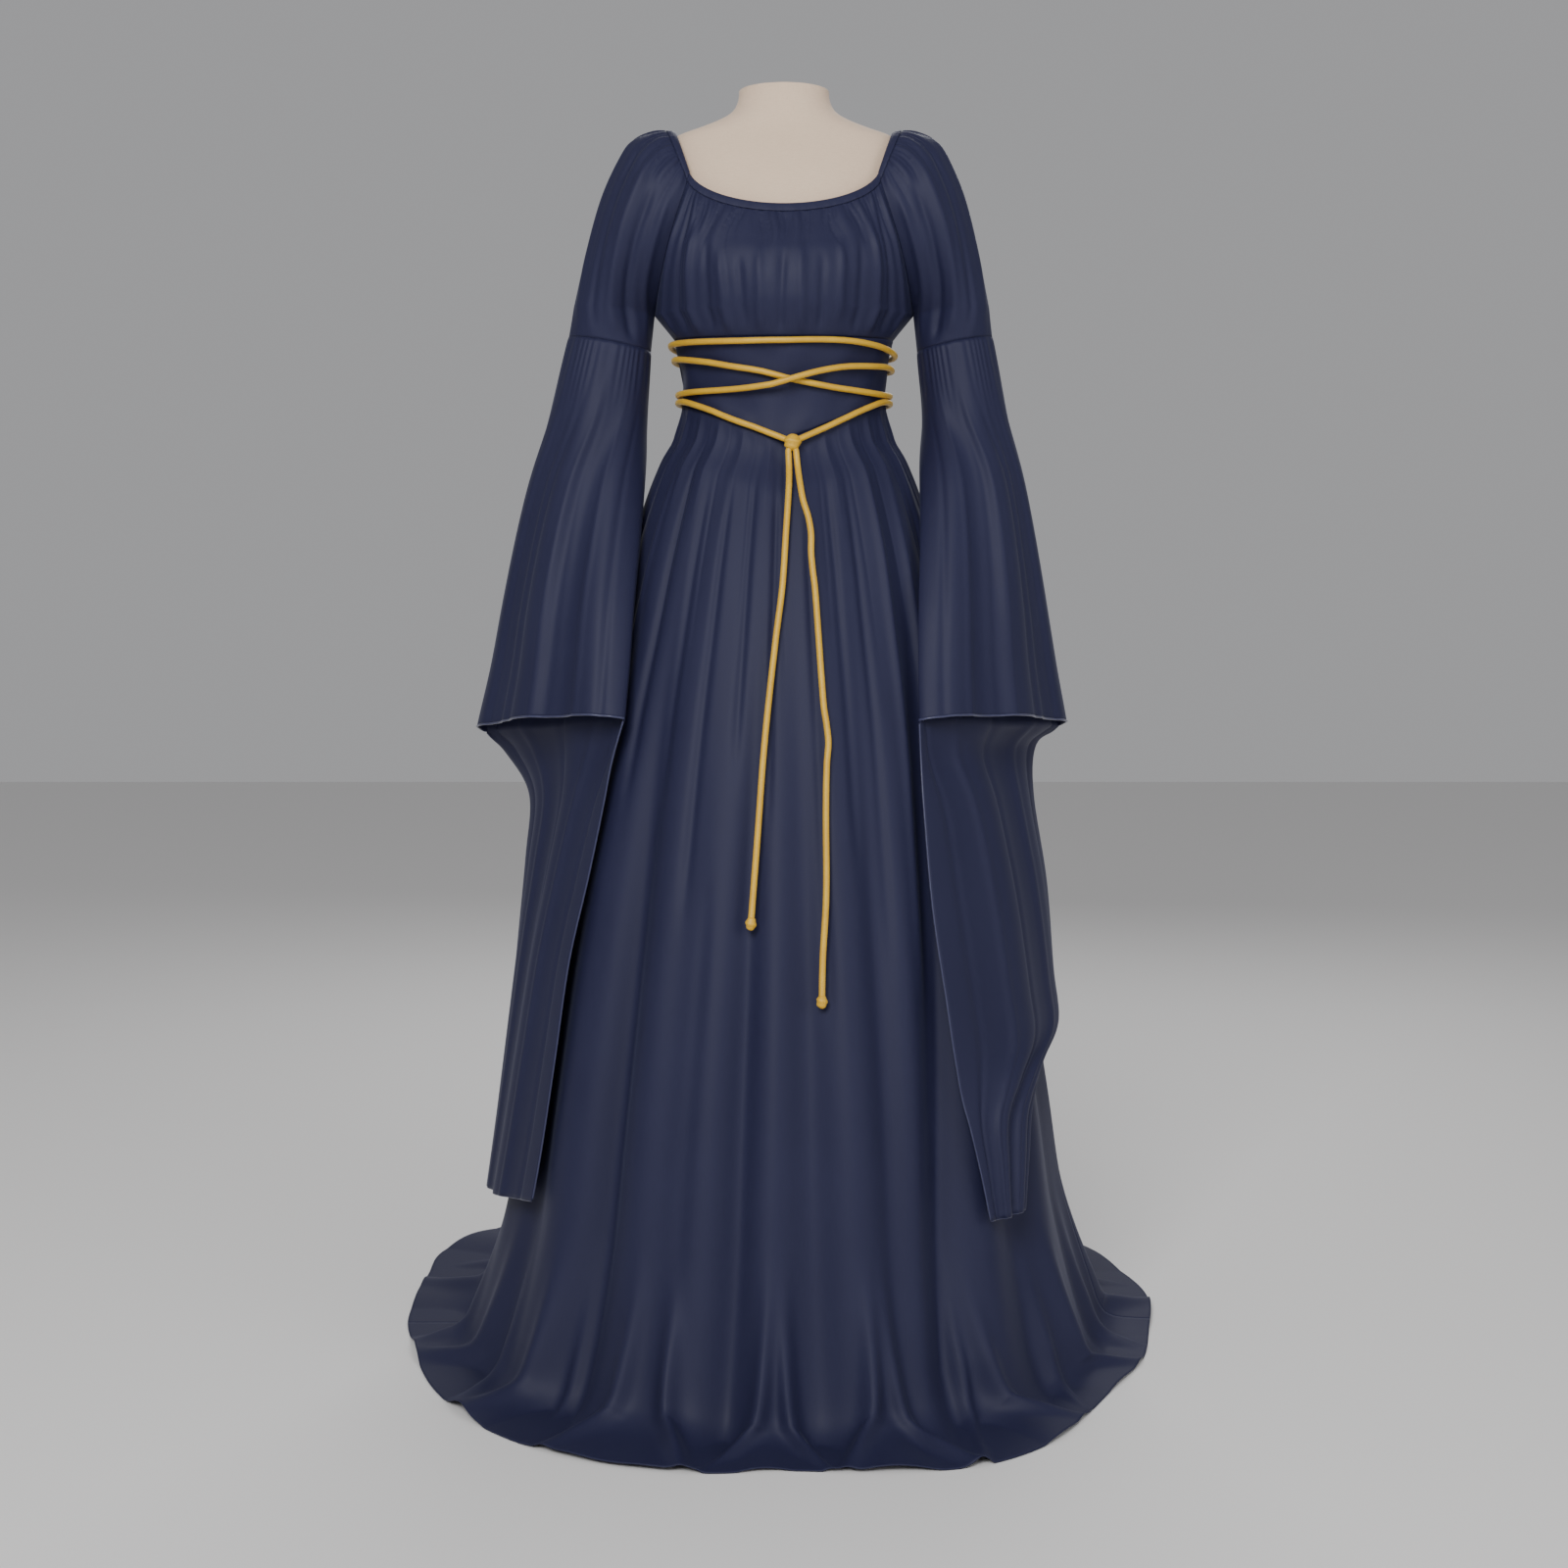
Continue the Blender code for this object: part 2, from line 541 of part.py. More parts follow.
def lower_sleeve_point(side, section, swing, flat=0.0):
    """swing is in degrees: -90 the front's middle, 0 the outer end, 90 the back, 180 the inner end."""
    height, rise, inner_x, inner_y, outer_x, outer_y, front_bulge, back_bulge = section
    inner = Vector((inner_x, inner_y, 0))
    outer = Vector((outer_x, outer_y, 0))
    half = (outer - inner) / 2
    forward = Vector((half.y, -half.x, 0)).normalized()
    turn = math.radians(swing)
    along = mix(math.cos(turn), 1 - abs(swing) / 90, flat)
    if swing < 0:
        bulge = -front_bulge * math.sin(turn)
    else:
        rounding = SLEEVE_EDGE_ROUNDING * (1 - flat) * math.cos(turn) ** 2
        bulge = -(back_bulge + rounding) * math.sin(turn)
    point = (inner + outer) / 2 + half * along + forward * bulge
    return Vector((side * point.x, point.y, height + rise * along))


def sleeve_fold(swing, grown):
    return grown * sum(size * bell(turn_between(swing, place), spread) for place, spread, size in SLEEVE_FOLDS)


def lower_sleeve_panel(name, side, sections, tail):
    """A tube from the elbow seam to the front hem, whose back layer runs on as the long tail."""
    panel = Panel(name)
    columns = 2 * PANEL_GATHERS
    swings = [-180 + 360 * i / columns for i in range(columns)]
    rows = []
    for number, section in enumerate(sections):
        points = [lower_sleeve_point(side, section, swing) for swing in swings]
        if section is sections[-1]:
            for point, swing in zip(points, swings):
                point.z += FRONT_HEM_ARCH * max(-math.sin(math.radians(swing)), 0)
        grown = ease(number / 3)
        found = panel.row(points, [sleeve_fold(swing, grown) for swing in swings])
        rows.append(found + found[:1])
    strip = [rows[-1][columns // 2:]]
    for *section, flat in tail:
        swings = [180 * i / (columns // 2) for i in range(columns // 2 + 1)]
        section.insert(6, 0.0)
        points = [lower_sleeve_point(side, section, swing, flat) for swing in swings]
        strip.append(panel.row(points, [sleeve_fold(swing, 1) for swing in swings]))
    for net in (rows, strip):
        panel.skin(net if side > 0 else [line[::-1] for line in net])
    return panel


def waist_panel(name, start):
    panel = Panel(name)
    columns = SKIRT_COLUMNS // 2
    angles = [start + 180 * i / columns for i in range(columns + 1)]
    panel.skin([panel.row([waist_point(angle, down) for angle in angles]) for down in WAIST_ROWS])
    return panel


def skirt_panel(name, start):
    panel = Panel(name)
    angles = [start + 180 * i / SKIRT_COLUMNS for i in range(SKIRT_COLUMNS + 1)]
    rows = []
    for station in SKIRT_STATIONS:
        points = [skirt_point(angle, station) for angle in angles]
        if station == 0:
            points = halve(points)
        rows.append(panel.row(points, [skirt_relief(angle, station) for angle in angles]))
    panel.skin(rows)
    return panel


def neck_casing():
    """The folded band that holds the neck's gathers, with half the columns of the panels under it."""
    panel = Panel("neck_casing")
    step = 1 / PANEL_GATHERS * 2
    spots = [-1 + step * i for i in range(PANEL_GATHERS)]
    rows = []
    for row in (0, 1):
        points = [bodice_point(spot, row, -1) for spot in spots]
        points += [upper_sleeve_point(1, spot, row) for spot in spots]
        points += [bodice_point(-spot, row, 1) for spot in spots]
        points += [upper_sleeve_point(-1, -spot, row) for spot in spots]
        found = panel.row(points)
        rows.append(found + found[:1])
    panel.skin(rows)
    return panel


def gown_surface(angle, height):
    """Half sizes of the gown's smooth shape at a height on the waist panel or the skirt."""
    top = waist_top(angle)
    seam = waist_seam(angle)
    if height >= seam:
        return waist_point(angle, (top - height) / (top - seam))
    return skirt_point(angle, (seam - height) / (seam - FLOOR_TURN))


def cord_half(heights, name):
    """Points of half the waist cord, from the centre front of its top row to the knot."""
    way = SIDES[name]
    end = heights[-1][0]
    count = round(end / CORD_STEP)
    points = []
    for i in range(count + 1):
        turn = end * i / count
        height = read_table(heights, turn)[0]
        places = [gown_surface(way * turn, height + step * CORD_RADIUS) for step in (-2, -1, 0, 1)]
        base = max(places, key=lambda place: Vector((place.x, place.y)).length)
        lift = CORD_RADIUS + CORD_CLEAR
        station = (waist_seam(way * turn) - height + 2 * CORD_RADIUS) / (WAIST_SEAM_HEIGHT - FLOOR_TURN)
        if station > 0:
            lift += max(skirt_relief(way * turn, station), 0)
        for place, over, spread in CROSSINGS:
            if over == name:
                lift += CROSSING_LIFT * bell(turn - place, spread)
        outward = Vector((base.x, base.y, 0)).normalized()
        points.append(Vector((base.x, base.y, height)) + outward * lift)
    return points


def knot_middle():
    x, height = KNOT
    angle = math.degrees(math.asin(x / WAIST_PANEL[-1][2]))
    base = gown_surface(angle, height)
    return Vector((x, base.y - KNOT_CLEAR, height))


def tube(name, points):
    curve = bpy.data.curves.new(name, "CURVE")
    curve.dimensions = "3D"
    curve.bevel_depth = CORD_RADIUS
    curve.bevel_resolution = 2
    curve.use_fill_caps = True
    line = curve.splines.new("POLY")
    line.points.add(len(points) - 1)
    for spot, point in zip(line.points, points):
        spot.co = (*point, 1)
    curve.materials.append(bpy.data.materials["gold_cord"])
    thing = bpy.data.objects.new(name, curve)
    bpy.data.collections["medieval_gown"].objects.link(thing)


def lump(name, middle, size, tilt=0.0):
    mesh = bpy.data.meshes.new(name)
    net = bmesh.new()
    bmesh.ops.create_uvsphere(net, u_segments=14, v_segments=8, radius=1)
    net.to_mesh(mesh)
    net.free()
    thing = link_mesh(name, mesh, "gold_cord")
    thing.location = middle
    thing.rotation_euler = (0, tilt, 0)
    thing.scale = size


def waist_cord():
    """One cord: its middle lies on the top row, and both ends go round the waist twice to the knot."""
    middle = knot_middle()
    halves = []
    for heights, name in ((CORD_TO_RIGHT, "right"), (CORD_TO_LEFT, "left")):
        points = cord_half(heights, name)
        away = (points[-1] - middle).normalized()
        reach = 1 / math.sqrt(sum((part / size) ** 2 for part, size in zip(away, KNOT_SIZE)))
        points[-1] = middle + away * (reach + 2 * SEAM_GAP)
        halves.append(points)
    tube("waist_cord", halves[0][::-1] + halves[1][1:])
    lump("waist_knot", middle, KNOT_SIZE)


def tail_depth(x, height):
    """The skirt's front at a place, over the folds within a hand's breadth."""
    deepest = 0
    for reach in (-0.012, 0, 0.012):
        half_width = read_table(SKIRT, height)[0]
        angle = math.degrees(math.asin((x + reach) / half_width))
        seam = waist_seam(angle)
        station = max((seam - height) / (seam - FLOOR_TURN), 0)
        deepest = min(deepest, skirt_point(angle, station).y - max(skirt_relief(angle, station), 0))
    return deepest


def cord_tail(side):
    """A hanging end of the cord: it leaves the knot, lies down the skirt's front and ends in a knot."""
    rows = TAIL[side]
    top = rows[0][0]
    bottom = rows[-1][0]
    count = round((top - bottom) / TAIL_STEP)
    start = knot_middle()
    points = []
    for i in range(count + 1):
        height = mix(top, bottom, i / count)
        x = read_table(rows, height)[0]
        on_skirt = tail_depth(x, height) - CORD_RADIUS - TAIL_CLEAR
        points.append(Vector((x, min(on_skirt, mix(start.y, on_skirt, ease(i / 3))), height)))
    tube("cord_tail_" + side, points)
    down = (points[-1] - points[-2]).normalized()
    lump("tail_knot_" + side, points[-1] + down * (TAIL_KNOT_SIZE[2] + 0.0005), TAIL_KNOT_SIZE)


def dress_form():
    points = []
    for height, half_width, front, back in FORM:
        points += [ring_point(360 * i / FORM_COLUMNS, half_width, front, back, height)
                   for i in range(FORM_COLUMNS)]
    faces = [tuple(reversed(range(FORM_COLUMNS)))]
    for row in range(len(FORM) - 1):
        low = row * FORM_COLUMNS
        for i in range(FORM_COLUMNS):
            j = (i + 1) % FORM_COLUMNS
            faces.append((low + i, low + j, low + j + FORM_COLUMNS, low + i + FORM_COLUMNS))
    last = len(points) - FORM_COLUMNS
    faces.append(tuple(range(last, len(points))))
    add_object("dress_form", points, faces, "linen", 50)


def cylinder(name, radius, low, high, sides, edge=0.0):
    mesh = bpy.data.meshes.new(name)
    net = bmesh.new()
    bmesh.ops.create_cone(net, cap_ends=True, segments=sides, radius1=radius, radius2=radius,
                          depth=high - low)
    net.to_mesh(mesh)
    net.free()
    thing = link_mesh(name, mesh, "black_metal", 40)
    thing.location = (0, 0, (low + high) / 2)
    if edge:
        bevel = thing.modifiers.new("edge", "BEVEL")
        bevel.width = edge
        bevel.segments = 1
        bevel.angle_limit = math.radians(40)


def stand():
    cylinder("stand_foot", FOOT_RADIUS, 0, FOOT_HEIGHT, 40, FOOT_EDGE)
    cylinder("stand_pole", POLE_RADIUS, FOOT_HEIGHT + SEAM_GAP, FORM[0][0] - SEAM_GAP, 16)


def gown():
    panels = [neck_casing(), bodice_panel("bodice_front", -1), bodice_panel("bodice_back", 1)]
    for name, side in SIDES.items():
        panels.append(upper_sleeve_panel("sleeve_upper_" + name, side))
        panels.append(lower_sleeve_panel("sleeve_lower_" + name, side, LOWER_SLEEVE[name], SLEEVE_TAIL[name]))
    for name, start in (("front", -90), ("back", 90)):
        panels.append(waist_panel("waist_panel_" + name, start))
        panels.append(skirt_panel("skirt_" + name, start))
    sew(panels)


def make_finishes():
    for name, (colour, roughness, metallic) in FINISHES.items():
        finish = bpy.data.materials.new(name)
        finish.use_nodes = True
        shader = finish.node_tree.nodes["Principled BSDF"]
        shader.inputs["Base Color"].default_value = (*colour, 1)
        shader.inputs["Roughness"].default_value = roughness
        shader.inputs["Metallic"].default_value = metallic


def main():
    for thing in list(bpy.data.objects):
        bpy.data.objects.remove(thing, do_unlink=True)
    collection = bpy.data.collections.new("medieval_gown")
    bpy.context.scene.collection.children.link(collection)
    make_finishes()
    gown()
    waist_cord()
    for side in SIDES:
        cord_tail(side)
    dress_form()
    stand()


main()
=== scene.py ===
"""Looks of the medieval gown on its dress form: cloth with its folds, the cord belt, form and stand.

Metres, +Z up, the front faces -Y. Left and right are the wearer's. Angles round the body are in degrees
from the centre front: 90 is the wearer's left side at +X, 180 the centre back.
"""
import math

import bmesh
import bpy
import numpy as np
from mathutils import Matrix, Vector


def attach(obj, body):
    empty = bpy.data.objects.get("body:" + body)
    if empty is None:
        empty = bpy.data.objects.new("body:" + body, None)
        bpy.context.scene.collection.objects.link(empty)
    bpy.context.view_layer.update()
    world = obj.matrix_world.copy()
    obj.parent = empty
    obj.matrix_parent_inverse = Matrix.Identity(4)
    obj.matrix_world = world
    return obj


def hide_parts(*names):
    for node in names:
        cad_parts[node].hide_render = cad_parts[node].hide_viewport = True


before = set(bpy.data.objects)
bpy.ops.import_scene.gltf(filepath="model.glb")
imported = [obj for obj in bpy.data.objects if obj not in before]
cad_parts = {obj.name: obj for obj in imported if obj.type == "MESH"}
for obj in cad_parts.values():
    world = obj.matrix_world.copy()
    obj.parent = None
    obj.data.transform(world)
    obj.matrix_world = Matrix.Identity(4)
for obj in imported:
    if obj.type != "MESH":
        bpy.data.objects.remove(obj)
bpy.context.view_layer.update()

# Camera
CAMERA_PLACE = (0, -2.6, 0.901)
CAMERA_DIP = 4.5            # degrees below level
CAMERA_LENS = 47.52

# Cloth
CLOTH = 0.0011              # thickness that shows at an edge
GATHERS = 12                # in each of the bodice's and sleeves' top edges, and in half the waist
TOP_COLUMNS = 193           # points across a bodice half or an upper sleeve
CASING_STEPS = 144          # steps along each quarter of the neck's casing
SKIRT_STEPS = 720           # steps round the skirt
SLEEVE_STEPS = 192          # steps round a lower sleeve
UNDERARM = (0.160, 1.277)
BODICE_END = (0.135, 1.247)
WAIST_SEAM_HEIGHT = 1.166
WAIST_POINT_DROP = 0.050
WAIST_BACK_DROP = 0.008
LEFT_SLEEVE_SLIMMER = 0.0085

# Columns: row, half the angle that the sleeve wraps, half depth, raglan seam's half width, its front
# height, its back height, sleeve's outer half width, its height, roundness near the seam
SLEEVE_HEAD = (
    (0, 80, 0.0670, 0.1130, 1.437, 1.476, 0.1330, 1.497, 1.0),
    (1, 84, 0.0700, 0.1155, 1.428, 1.467, 0.1430, 1.499, 1.0),
    (2, 92, 0.0740, 0.1200, 1.413, 1.450, 0.1620, 1.497, 1.0),
    (3, 108, 0.0775, 0.1300, 1.383, 1.417, 0.1840, 1.488, 1.0),
    (4, 122, 0.0790, 0.1390, 1.355, 1.383, 0.2000, 1.467, 0.95),
    (5, 140, 0.0760, 0.1480, 1.324, 1.345, 0.2230, 1.419, 0.88),
    (6, 160, 0.0660, 0.1555, 1.296, 1.306, 0.2430, 1.354, 0.80),
    (7, 180, 0.0540, UNDERARM[0], UNDERARM[1], UNDERARM[1], 0.2600, 1.285, 0.75),
)
ELBOW = (0.0465, 0.1650, 1.233, 0.2665, 1.251)
# Columns: row, bow angle, front depth, front height, back depth, back height
BODICE_CENTRE = (
    (0, 80, 0.0980, 1.395, 0.0790, 1.469),
    (1, 80, 0.1010, 1.386, 0.0820, 1.460),
    (2, 82, 0.1080, 1.372, 0.0880, 1.445),
    (3, 84, 0.1200, 1.352, 0.0960, 1.413),
    (4, 86, 0.1290, 1.335, 0.1020, 1.378),
    (5, 84, 0.1340, 1.313, 0.1045, 1.342),
    (6, 80, 0.1345, 1.292, 0.1030, 1.306),
    (7, 80, 0.1310, 1.272, 0.1000, 1.275),
    (8, 90, 0.1170, 1.237, 0.0925, 1.241),
)
# Columns: share of the way down, half width, front depth, back depth
WAIST_PANEL = (
    (0.0, 0.1350, 0.117, 0.0925),
    (0.4, 0.1280, 0.108, 0.0885),
    (0.7, 0.1255, 0.104, 0.0870),
    (1.0, 0.1255, 0.105, 0.0875),
)
# Columns: height, half width, front depth, back depth
SKIRT = (
    (1.120, 0.139, 0.107, 0.103),
    (1.060, 0.165, 0.130, 0.132),
    (0.980, 0.191, 0.157, 0.162),
    (0.900, 0.212, 0.180, 0.188),
    (0.780, 0.242, 0.212, 0.222),
    (0.620, 0.273, 0.248, 0.268),
    (0.450, 0.304, 0.286, 0.315),
    (0.300, 0.329, 0.318, 0.356),
    (0.170, 0.348, 0.344, 0.398),
    (0.080, 0.368, 0.362, 0.440),
    (0.040, 0.383, 0.376, 0.465),
)
FLOOR_TURN = 0.040
FLOOR_CLOTH = 0.0016
SETTLE = 0.07
HEM = (
    (-180, 0.610), (-137, 0.597), (-122, 0.575), (-112, 0.530), (-101, 0.500), (-90, 0.484),
    (-78, 0.468), (-60, 0.472), (-41, 0.485), (-24, 0.488), (-10, 0.478), (0, 0.464), (14, 0.482),
    (25, 0.498), (37, 0.488), (50, 0.460), (60, 0.450), (73, 0.458), (87, 0.466), (104, 0.500),
    (123, 0.526), (140, 0.575), (180, 0.610),
)
# Folds that run down the skirt. Columns: angle at the waist, angle at the hem, half spread, relief
SKIRT_FOLDS = (
    (-118, -116, 7, -0.014), (-103, -102, 7, 0.008), (-92, -91, 6, -0.010), (-79, -78, 6, 0.006),
    (-63, -62, 6, -0.010), (-50, -50, 7, 0.010), (-36, -39, 4, -0.022), (-28, -29, 5, 0.010),
    (-15, -18, 6, 0.009), (-7, -9.5, 3, -0.013), (1, -3, 4, 0.006), (4, 6, 4, -0.009),
    (14, 14, 6, 0.013), (22, 21, 3, -0.008), (33, 25, 5, 0.009), (47, 30, 5, -0.021),
    (56, 40, 6, 0.010), (64, 52, 5, -0.010), (72, 63, 6, 0.007), (83, 78, 5, -0.006),
    (94, 93, 6, 0.012), (108, 108, 6, -0.012), (122, 122, 7, 0.012), (138, 138, 6, -0.016),
    (150, 151, 7, 0.012), (163, 164, 6, -0.014), (176, 178, 7, 0.012), (191, 191, 6, -0.016),
    (205, 206, 8, 0.012), (220, 219, 6, -0.014), (231, 232, 6, 0.010),
)
# Narrow creases between them. Columns: angle at the top, angle at the foot, station of the top, of the
# foot, half spread, relief
SKIRT_CREASES = (
    (-74, -78, 0.02, 0.50, 2.0, -0.0034), (-57, -58, 0.02, 0.45, 2.0, 0.0034),
    (-44, -46, 0.02, 0.40, 1.6, -0.0036), (-33, -34, 0.05, 0.40, 1.5, -0.0030),
    (-22, -24, 0.02, 0.50, 1.4, -0.0034), (-18, -20, 0.45, 0.95, 1.8, -0.0022),
    (-12, -13, 0.02, 0.35, 1.3, -0.0030), (-3, -4, 0.02, 0.40, 1.2, -0.0030),
    (8, 10, 0.05, 0.60, 1.4, -0.0028), (18, 18, 0.02, 0.45, 1.4, -0.0032),
    (27, 25, 0.02, 0.55, 1.4, -0.0034), (38, 33, 0.02, 0.60, 1.7, 0.0046),
    (44, 30, 0.40, 1.00, 1.3, -0.0040), (52, 40, 0.05, 0.60, 1.6, 0.0036),
    (65, 57, 0.05, 0.60, 2.0, -0.0036), (76, 72, 0.05, 0.50, 2.0, 0.0034),
    (101, 100, 0.03, 0.60, 2.0, -0.0036), (115, 116, 0.03, 0.70, 2.0, 0.0036),
    (130, 130, 0.05, 0.80, 1.8, -0.0038), (144, 144, 0.03, 0.60, 2.0, 0.0036),
    (157, 158, 0.05, 0.80, 1.8, -0.0036), (170, 171, 0.03, 0.70, 2.0, 0.0036),
    (184, 184, 0.05, 0.80, 1.7, -0.0038), (198, 199, 0.03, 0.70, 2.0, 0.0038),
    (212, 213, 0.05, 0.70, 1.8, -0.0036), (226, 226, 0.03, 0.80, 1.8, 0.0038),
    (238, 238, 0.03, 0.70, 2.0, -0.0036), (249, 248, 0.05, 0.60, 2.0, 0.0032),
    (262, 261, 0.03, 0.60, 2.0, -0.0032),
)
# Buckles where the cloth meets the floor and spreads over it. Columns: angle at the floor turn, angle at
# the hem, half spread, height
HEM_BUCKLES = (
    (-68, -75, 3.2, 0.012), (-60, -52, 2.6, 0.010), (-47, -50, 2.4, 0.012), (-40, -36, 1.8, 0.014),
    (-27, -33, 1.8, 0.011), (-20, -13, 1.7, 0.015), (-3, -11, 1.6, 0.015), (0, 6, 1.5, 0.015),
    (15, 8, 1.6, 0.015), (18, 25, 1.5, 0.014), (33, 26, 1.6, 0.014), (36, 47, 1.9, 0.012),
    (55, 50, 2.2, 0.012), (62, 72, 2.6, 0.012), (82, 78, 3.0, 0.012), (92, 99, 3.2, 0.013),
    (112, 107, 3.2, 0.014), (130, 136, 3.4, 0.016), (150, 145, 3.4, 0.014), (166, 172, 3.4, 0.016),
    (186, 181, 3.4, 0.014), (203, 209, 3.4, 0.016), (222, 217, 3.4, 0.015), (239, 245, 3.4, 0.014),
    (257, 251, 3.2, 0.013), (276, 281, 3.2, 0.012),
)
# Relief of the waist's gathers. Columns: station, relief
SKIRT_GATHERS = ((0, 0.0012), (0.03, 0.0045), (0.10, 0.0060), (0.22, 0.0046), (0.4, 0.0018), (0.6, 0))
# Relief of the gathers below the neck's casing. Columns: row, relief
NECK_GATHERS = ((1, 0.0006), (1.25, 0.0022), (1.8, 0.0042), (2.4, 0.0040), (3.2, 0.0026), (4.2, 0.0014),
                (6.0, 0.0010), (8, 0.0006))
# Folds of the bodice's front. Columns: place across at the top, place at the bottom, row of the top,
# row of the bottom, half spread, relief
BODICE_FOLDS = (
    (-0.93, -0.80, 1.6, 8.2, 0.030, 0.0036), (-0.80, -0.64, 1.4, 8.0, 0.030, -0.0040),
    (-0.68, -0.53, 2.0, 8.2, 0.032, 0.0044), (-0.50, -0.42, 3.0, 8.0, 0.028, -0.0034),
    (-0.40, -0.31, 3.6, 8.3, 0.030, 0.0036), (-0.26, -0.22, 4.0, 7.6, 0.024, -0.0026),
    (-0.14, -0.13, 3.2, 8.2, 0.028, 0.0028), (0.00, -0.02, 3.5, 8.3, 0.022, -0.0026),
    (0.10, 0.09, 3.0, 8.0, 0.028, 0.0028), (0.22, 0.20, 3.8, 8.0, 0.022, -0.0026),
    (0.36, 0.30, 3.0, 7.4, 0.026, 0.0030), (0.50, 0.41, 3.0, 8.2, 0.028, -0.0034),
    (0.66, 0.52, 2.0, 8.3, 0.030, 0.0042), (0.79, 0.64, 1.6, 8.0, 0.028, -0.0038),
    (0.90, 0.78, 1.4, 8.2, 0.030, 0.0036),
)
BACK_FOLDS = (
    (-0.84, -0.72, 1.6, 8.0, 0.035, -0.0036), (-0.64, -0.52, 2.0, 8.3, 0.035, 0.0040),
    (-0.44, -0.36, 1.8, 8.0, 0.030, -0.0032), (-0.24, -0.20, 2.6, 8.2, 0.032, 0.0032),
    (-0.04, -0.05, 2.0, 8.0, 0.028, -0.0028), (0.16, 0.13, 2.2, 8.3, 0.032, 0.0034),
    (0.38, 0.31, 1.8, 8.0, 0.030, -0.0032), (0.60, 0.48, 2.2, 8.3, 0.035, 0.0038),
    (0.82, 0.70, 1.6, 8.0, 0.035, -0.0036),
)
# Folds of the upper sleeves, on the same columns; -1 is the front seam and 1 the back one
UPPER_SLEEVE_FOLDS = (
    (-0.88, -0.86, 2.0, 7.6, 0.040, 0.0030), (-0.72, -0.70, 2.4, 8.2, 0.045, -0.0046),
    (-0.55, -0.56, 1.8, 7.8, 0.050, 0.0036), (-0.36, -0.40, 2.2, 7.6, 0.045, -0.0034),
    (-0.16, -0.20, 2.0, 7.0, 0.050, 0.0030), (0.06, 0.08, 2.6, 7.6, 0.050, -0.0030),
    (0.26, 0.28, 2.0, 7.4, 0.050, 0.0034), (0.48, 0.50, 2.2, 8.0, 0.045, -0.0040),
    (0.68, 0.68, 2.0, 7.8, 0.045, 0.0034), (0.86, 0.86, 2.4, 7.6, 0.040, -0.0030),
)

# Columns: height, rise of the outer end over the middle, inner end x and y, outer end x and y, front
# bulge, back bulge; x is on the sleeve's own side
LOWER_SLEEVE = {
    "right": (
        (1.242, 0.009, 0.165, 0.000, 0.2665, 0.000, 0.0465, 0.0465),
        (1.150, 0.002, 0.170, -0.010, 0.292, 0.004, 0.052, 0.044),
        (1.060, 0.000, 0.174, -0.058, 0.314, 0.012, 0.054, 0.020),
        (0.930, 0.000, 0.180, -0.122, 0.340, 0.018, 0.052, 0.004),
        (0.850, 0.000, 0.184, -0.150, 0.357, 0.018, 0.048, 0.003),
        (0.775, -0.012, 0.188, -0.172, 0.379, 0.015, 0.042, 0.003),
    ),
    "left": (
        (1.242, 0.009, 0.165, 0.000, 0.258, 0.000, 0.0465, 0.0465),
        (1.150, 0.002, 0.172, -0.008, 0.278, 0.004, 0.052, 0.044),
        (1.060, 0.000, 0.168, -0.071, 0.292, 0.010, 0.054, 0.010),
        (0.930, 0.000, 0.160, -0.137, 0.315, 0.016, 0.052, -0.012),
        (0.850, 0.000, 0.158, -0.163, 0.331, 0.018, 0.048, -0.014),
        (0.778, -0.008, 0.158, -0.186, 0.347, 0.015, 0.044, -0.016),
    ),
}
FRONT_HEM_ARCH = 0.010
SLEEVE_EDGE_ROUNDING = 0.018
# Columns: height, rise of the outer edge over the middle, inner edge x and y, outer edge x and y, bulge
# towards the skirt, how flat it hangs
SLEEVE_TAIL = {
    "right": (
        (0.735, 0.000, 0.203, -0.167, 0.354, 0.030, 0.002, 0.35),
        (0.680, 0.000, 0.214, -0.168, 0.326, 0.045, -0.010, 0.8),
        (0.600, 0.000, 0.231, -0.170, 0.331, 0.045, -0.014, 1.0),
        (0.500, 0.000, 0.254, -0.177, 0.340, 0.045, -0.017, 1.0),
        (0.390, 0.000, 0.270, -0.186, 0.350, 0.048, -0.022, 1.0),
        (0.280, -0.004, 0.286, -0.192, 0.361, 0.050, -0.026, 1.0),
        (0.196, -0.020, 0.298, -0.195, 0.373, 0.050, -0.028, 1.0),
    ),
    "left": (
        (0.740, 0.004, 0.160, -0.191, 0.320, 0.030, -0.014, 0.35),
        (0.680, 0.000, 0.163, -0.205, 0.319, 0.045, -0.030, 0.8),
        (0.570, 0.000, 0.172, -0.226, 0.336, 0.045, -0.040, 1.0),
        (0.460, 0.000, 0.188, -0.243, 0.344, 0.042, -0.043, 1.0),
        (0.405, 0.000, 0.196, -0.251, 0.348, 0.025, -0.042, 1.0),
        (0.368, 0.014, 0.205, -0.257, 0.320, -0.090, -0.028, 1.0),
        (0.325, 0.004, 0.214, -0.263, 0.296, -0.170, -0.014, 1.0),
        (0.270, 0.000, 0.226, -0.270, 0.288, -0.203, -0.009, 1.0),
        (0.216, 0.000, 0.237, -0.276, 0.282, -0.222, -0.006, 1.0),
    ),
}
# Hanging folds of the lower sleeves. Columns: place round the sleeve, half spread, relief; -90 is the
# middle of its front and 90 the middle of its back
SLEEVE_FOLDS = (
    (-140, 15, 0.004), (-114, 12, -0.007), (-90, 15, 0.006), (-62, 13, -0.007), (-38, 13, 0.003),
    (0, 22, -0.003), (45, 16, -0.004), (80, 18, 0.005), (112, 16, -0.004), (145, 16, 0.003),
)
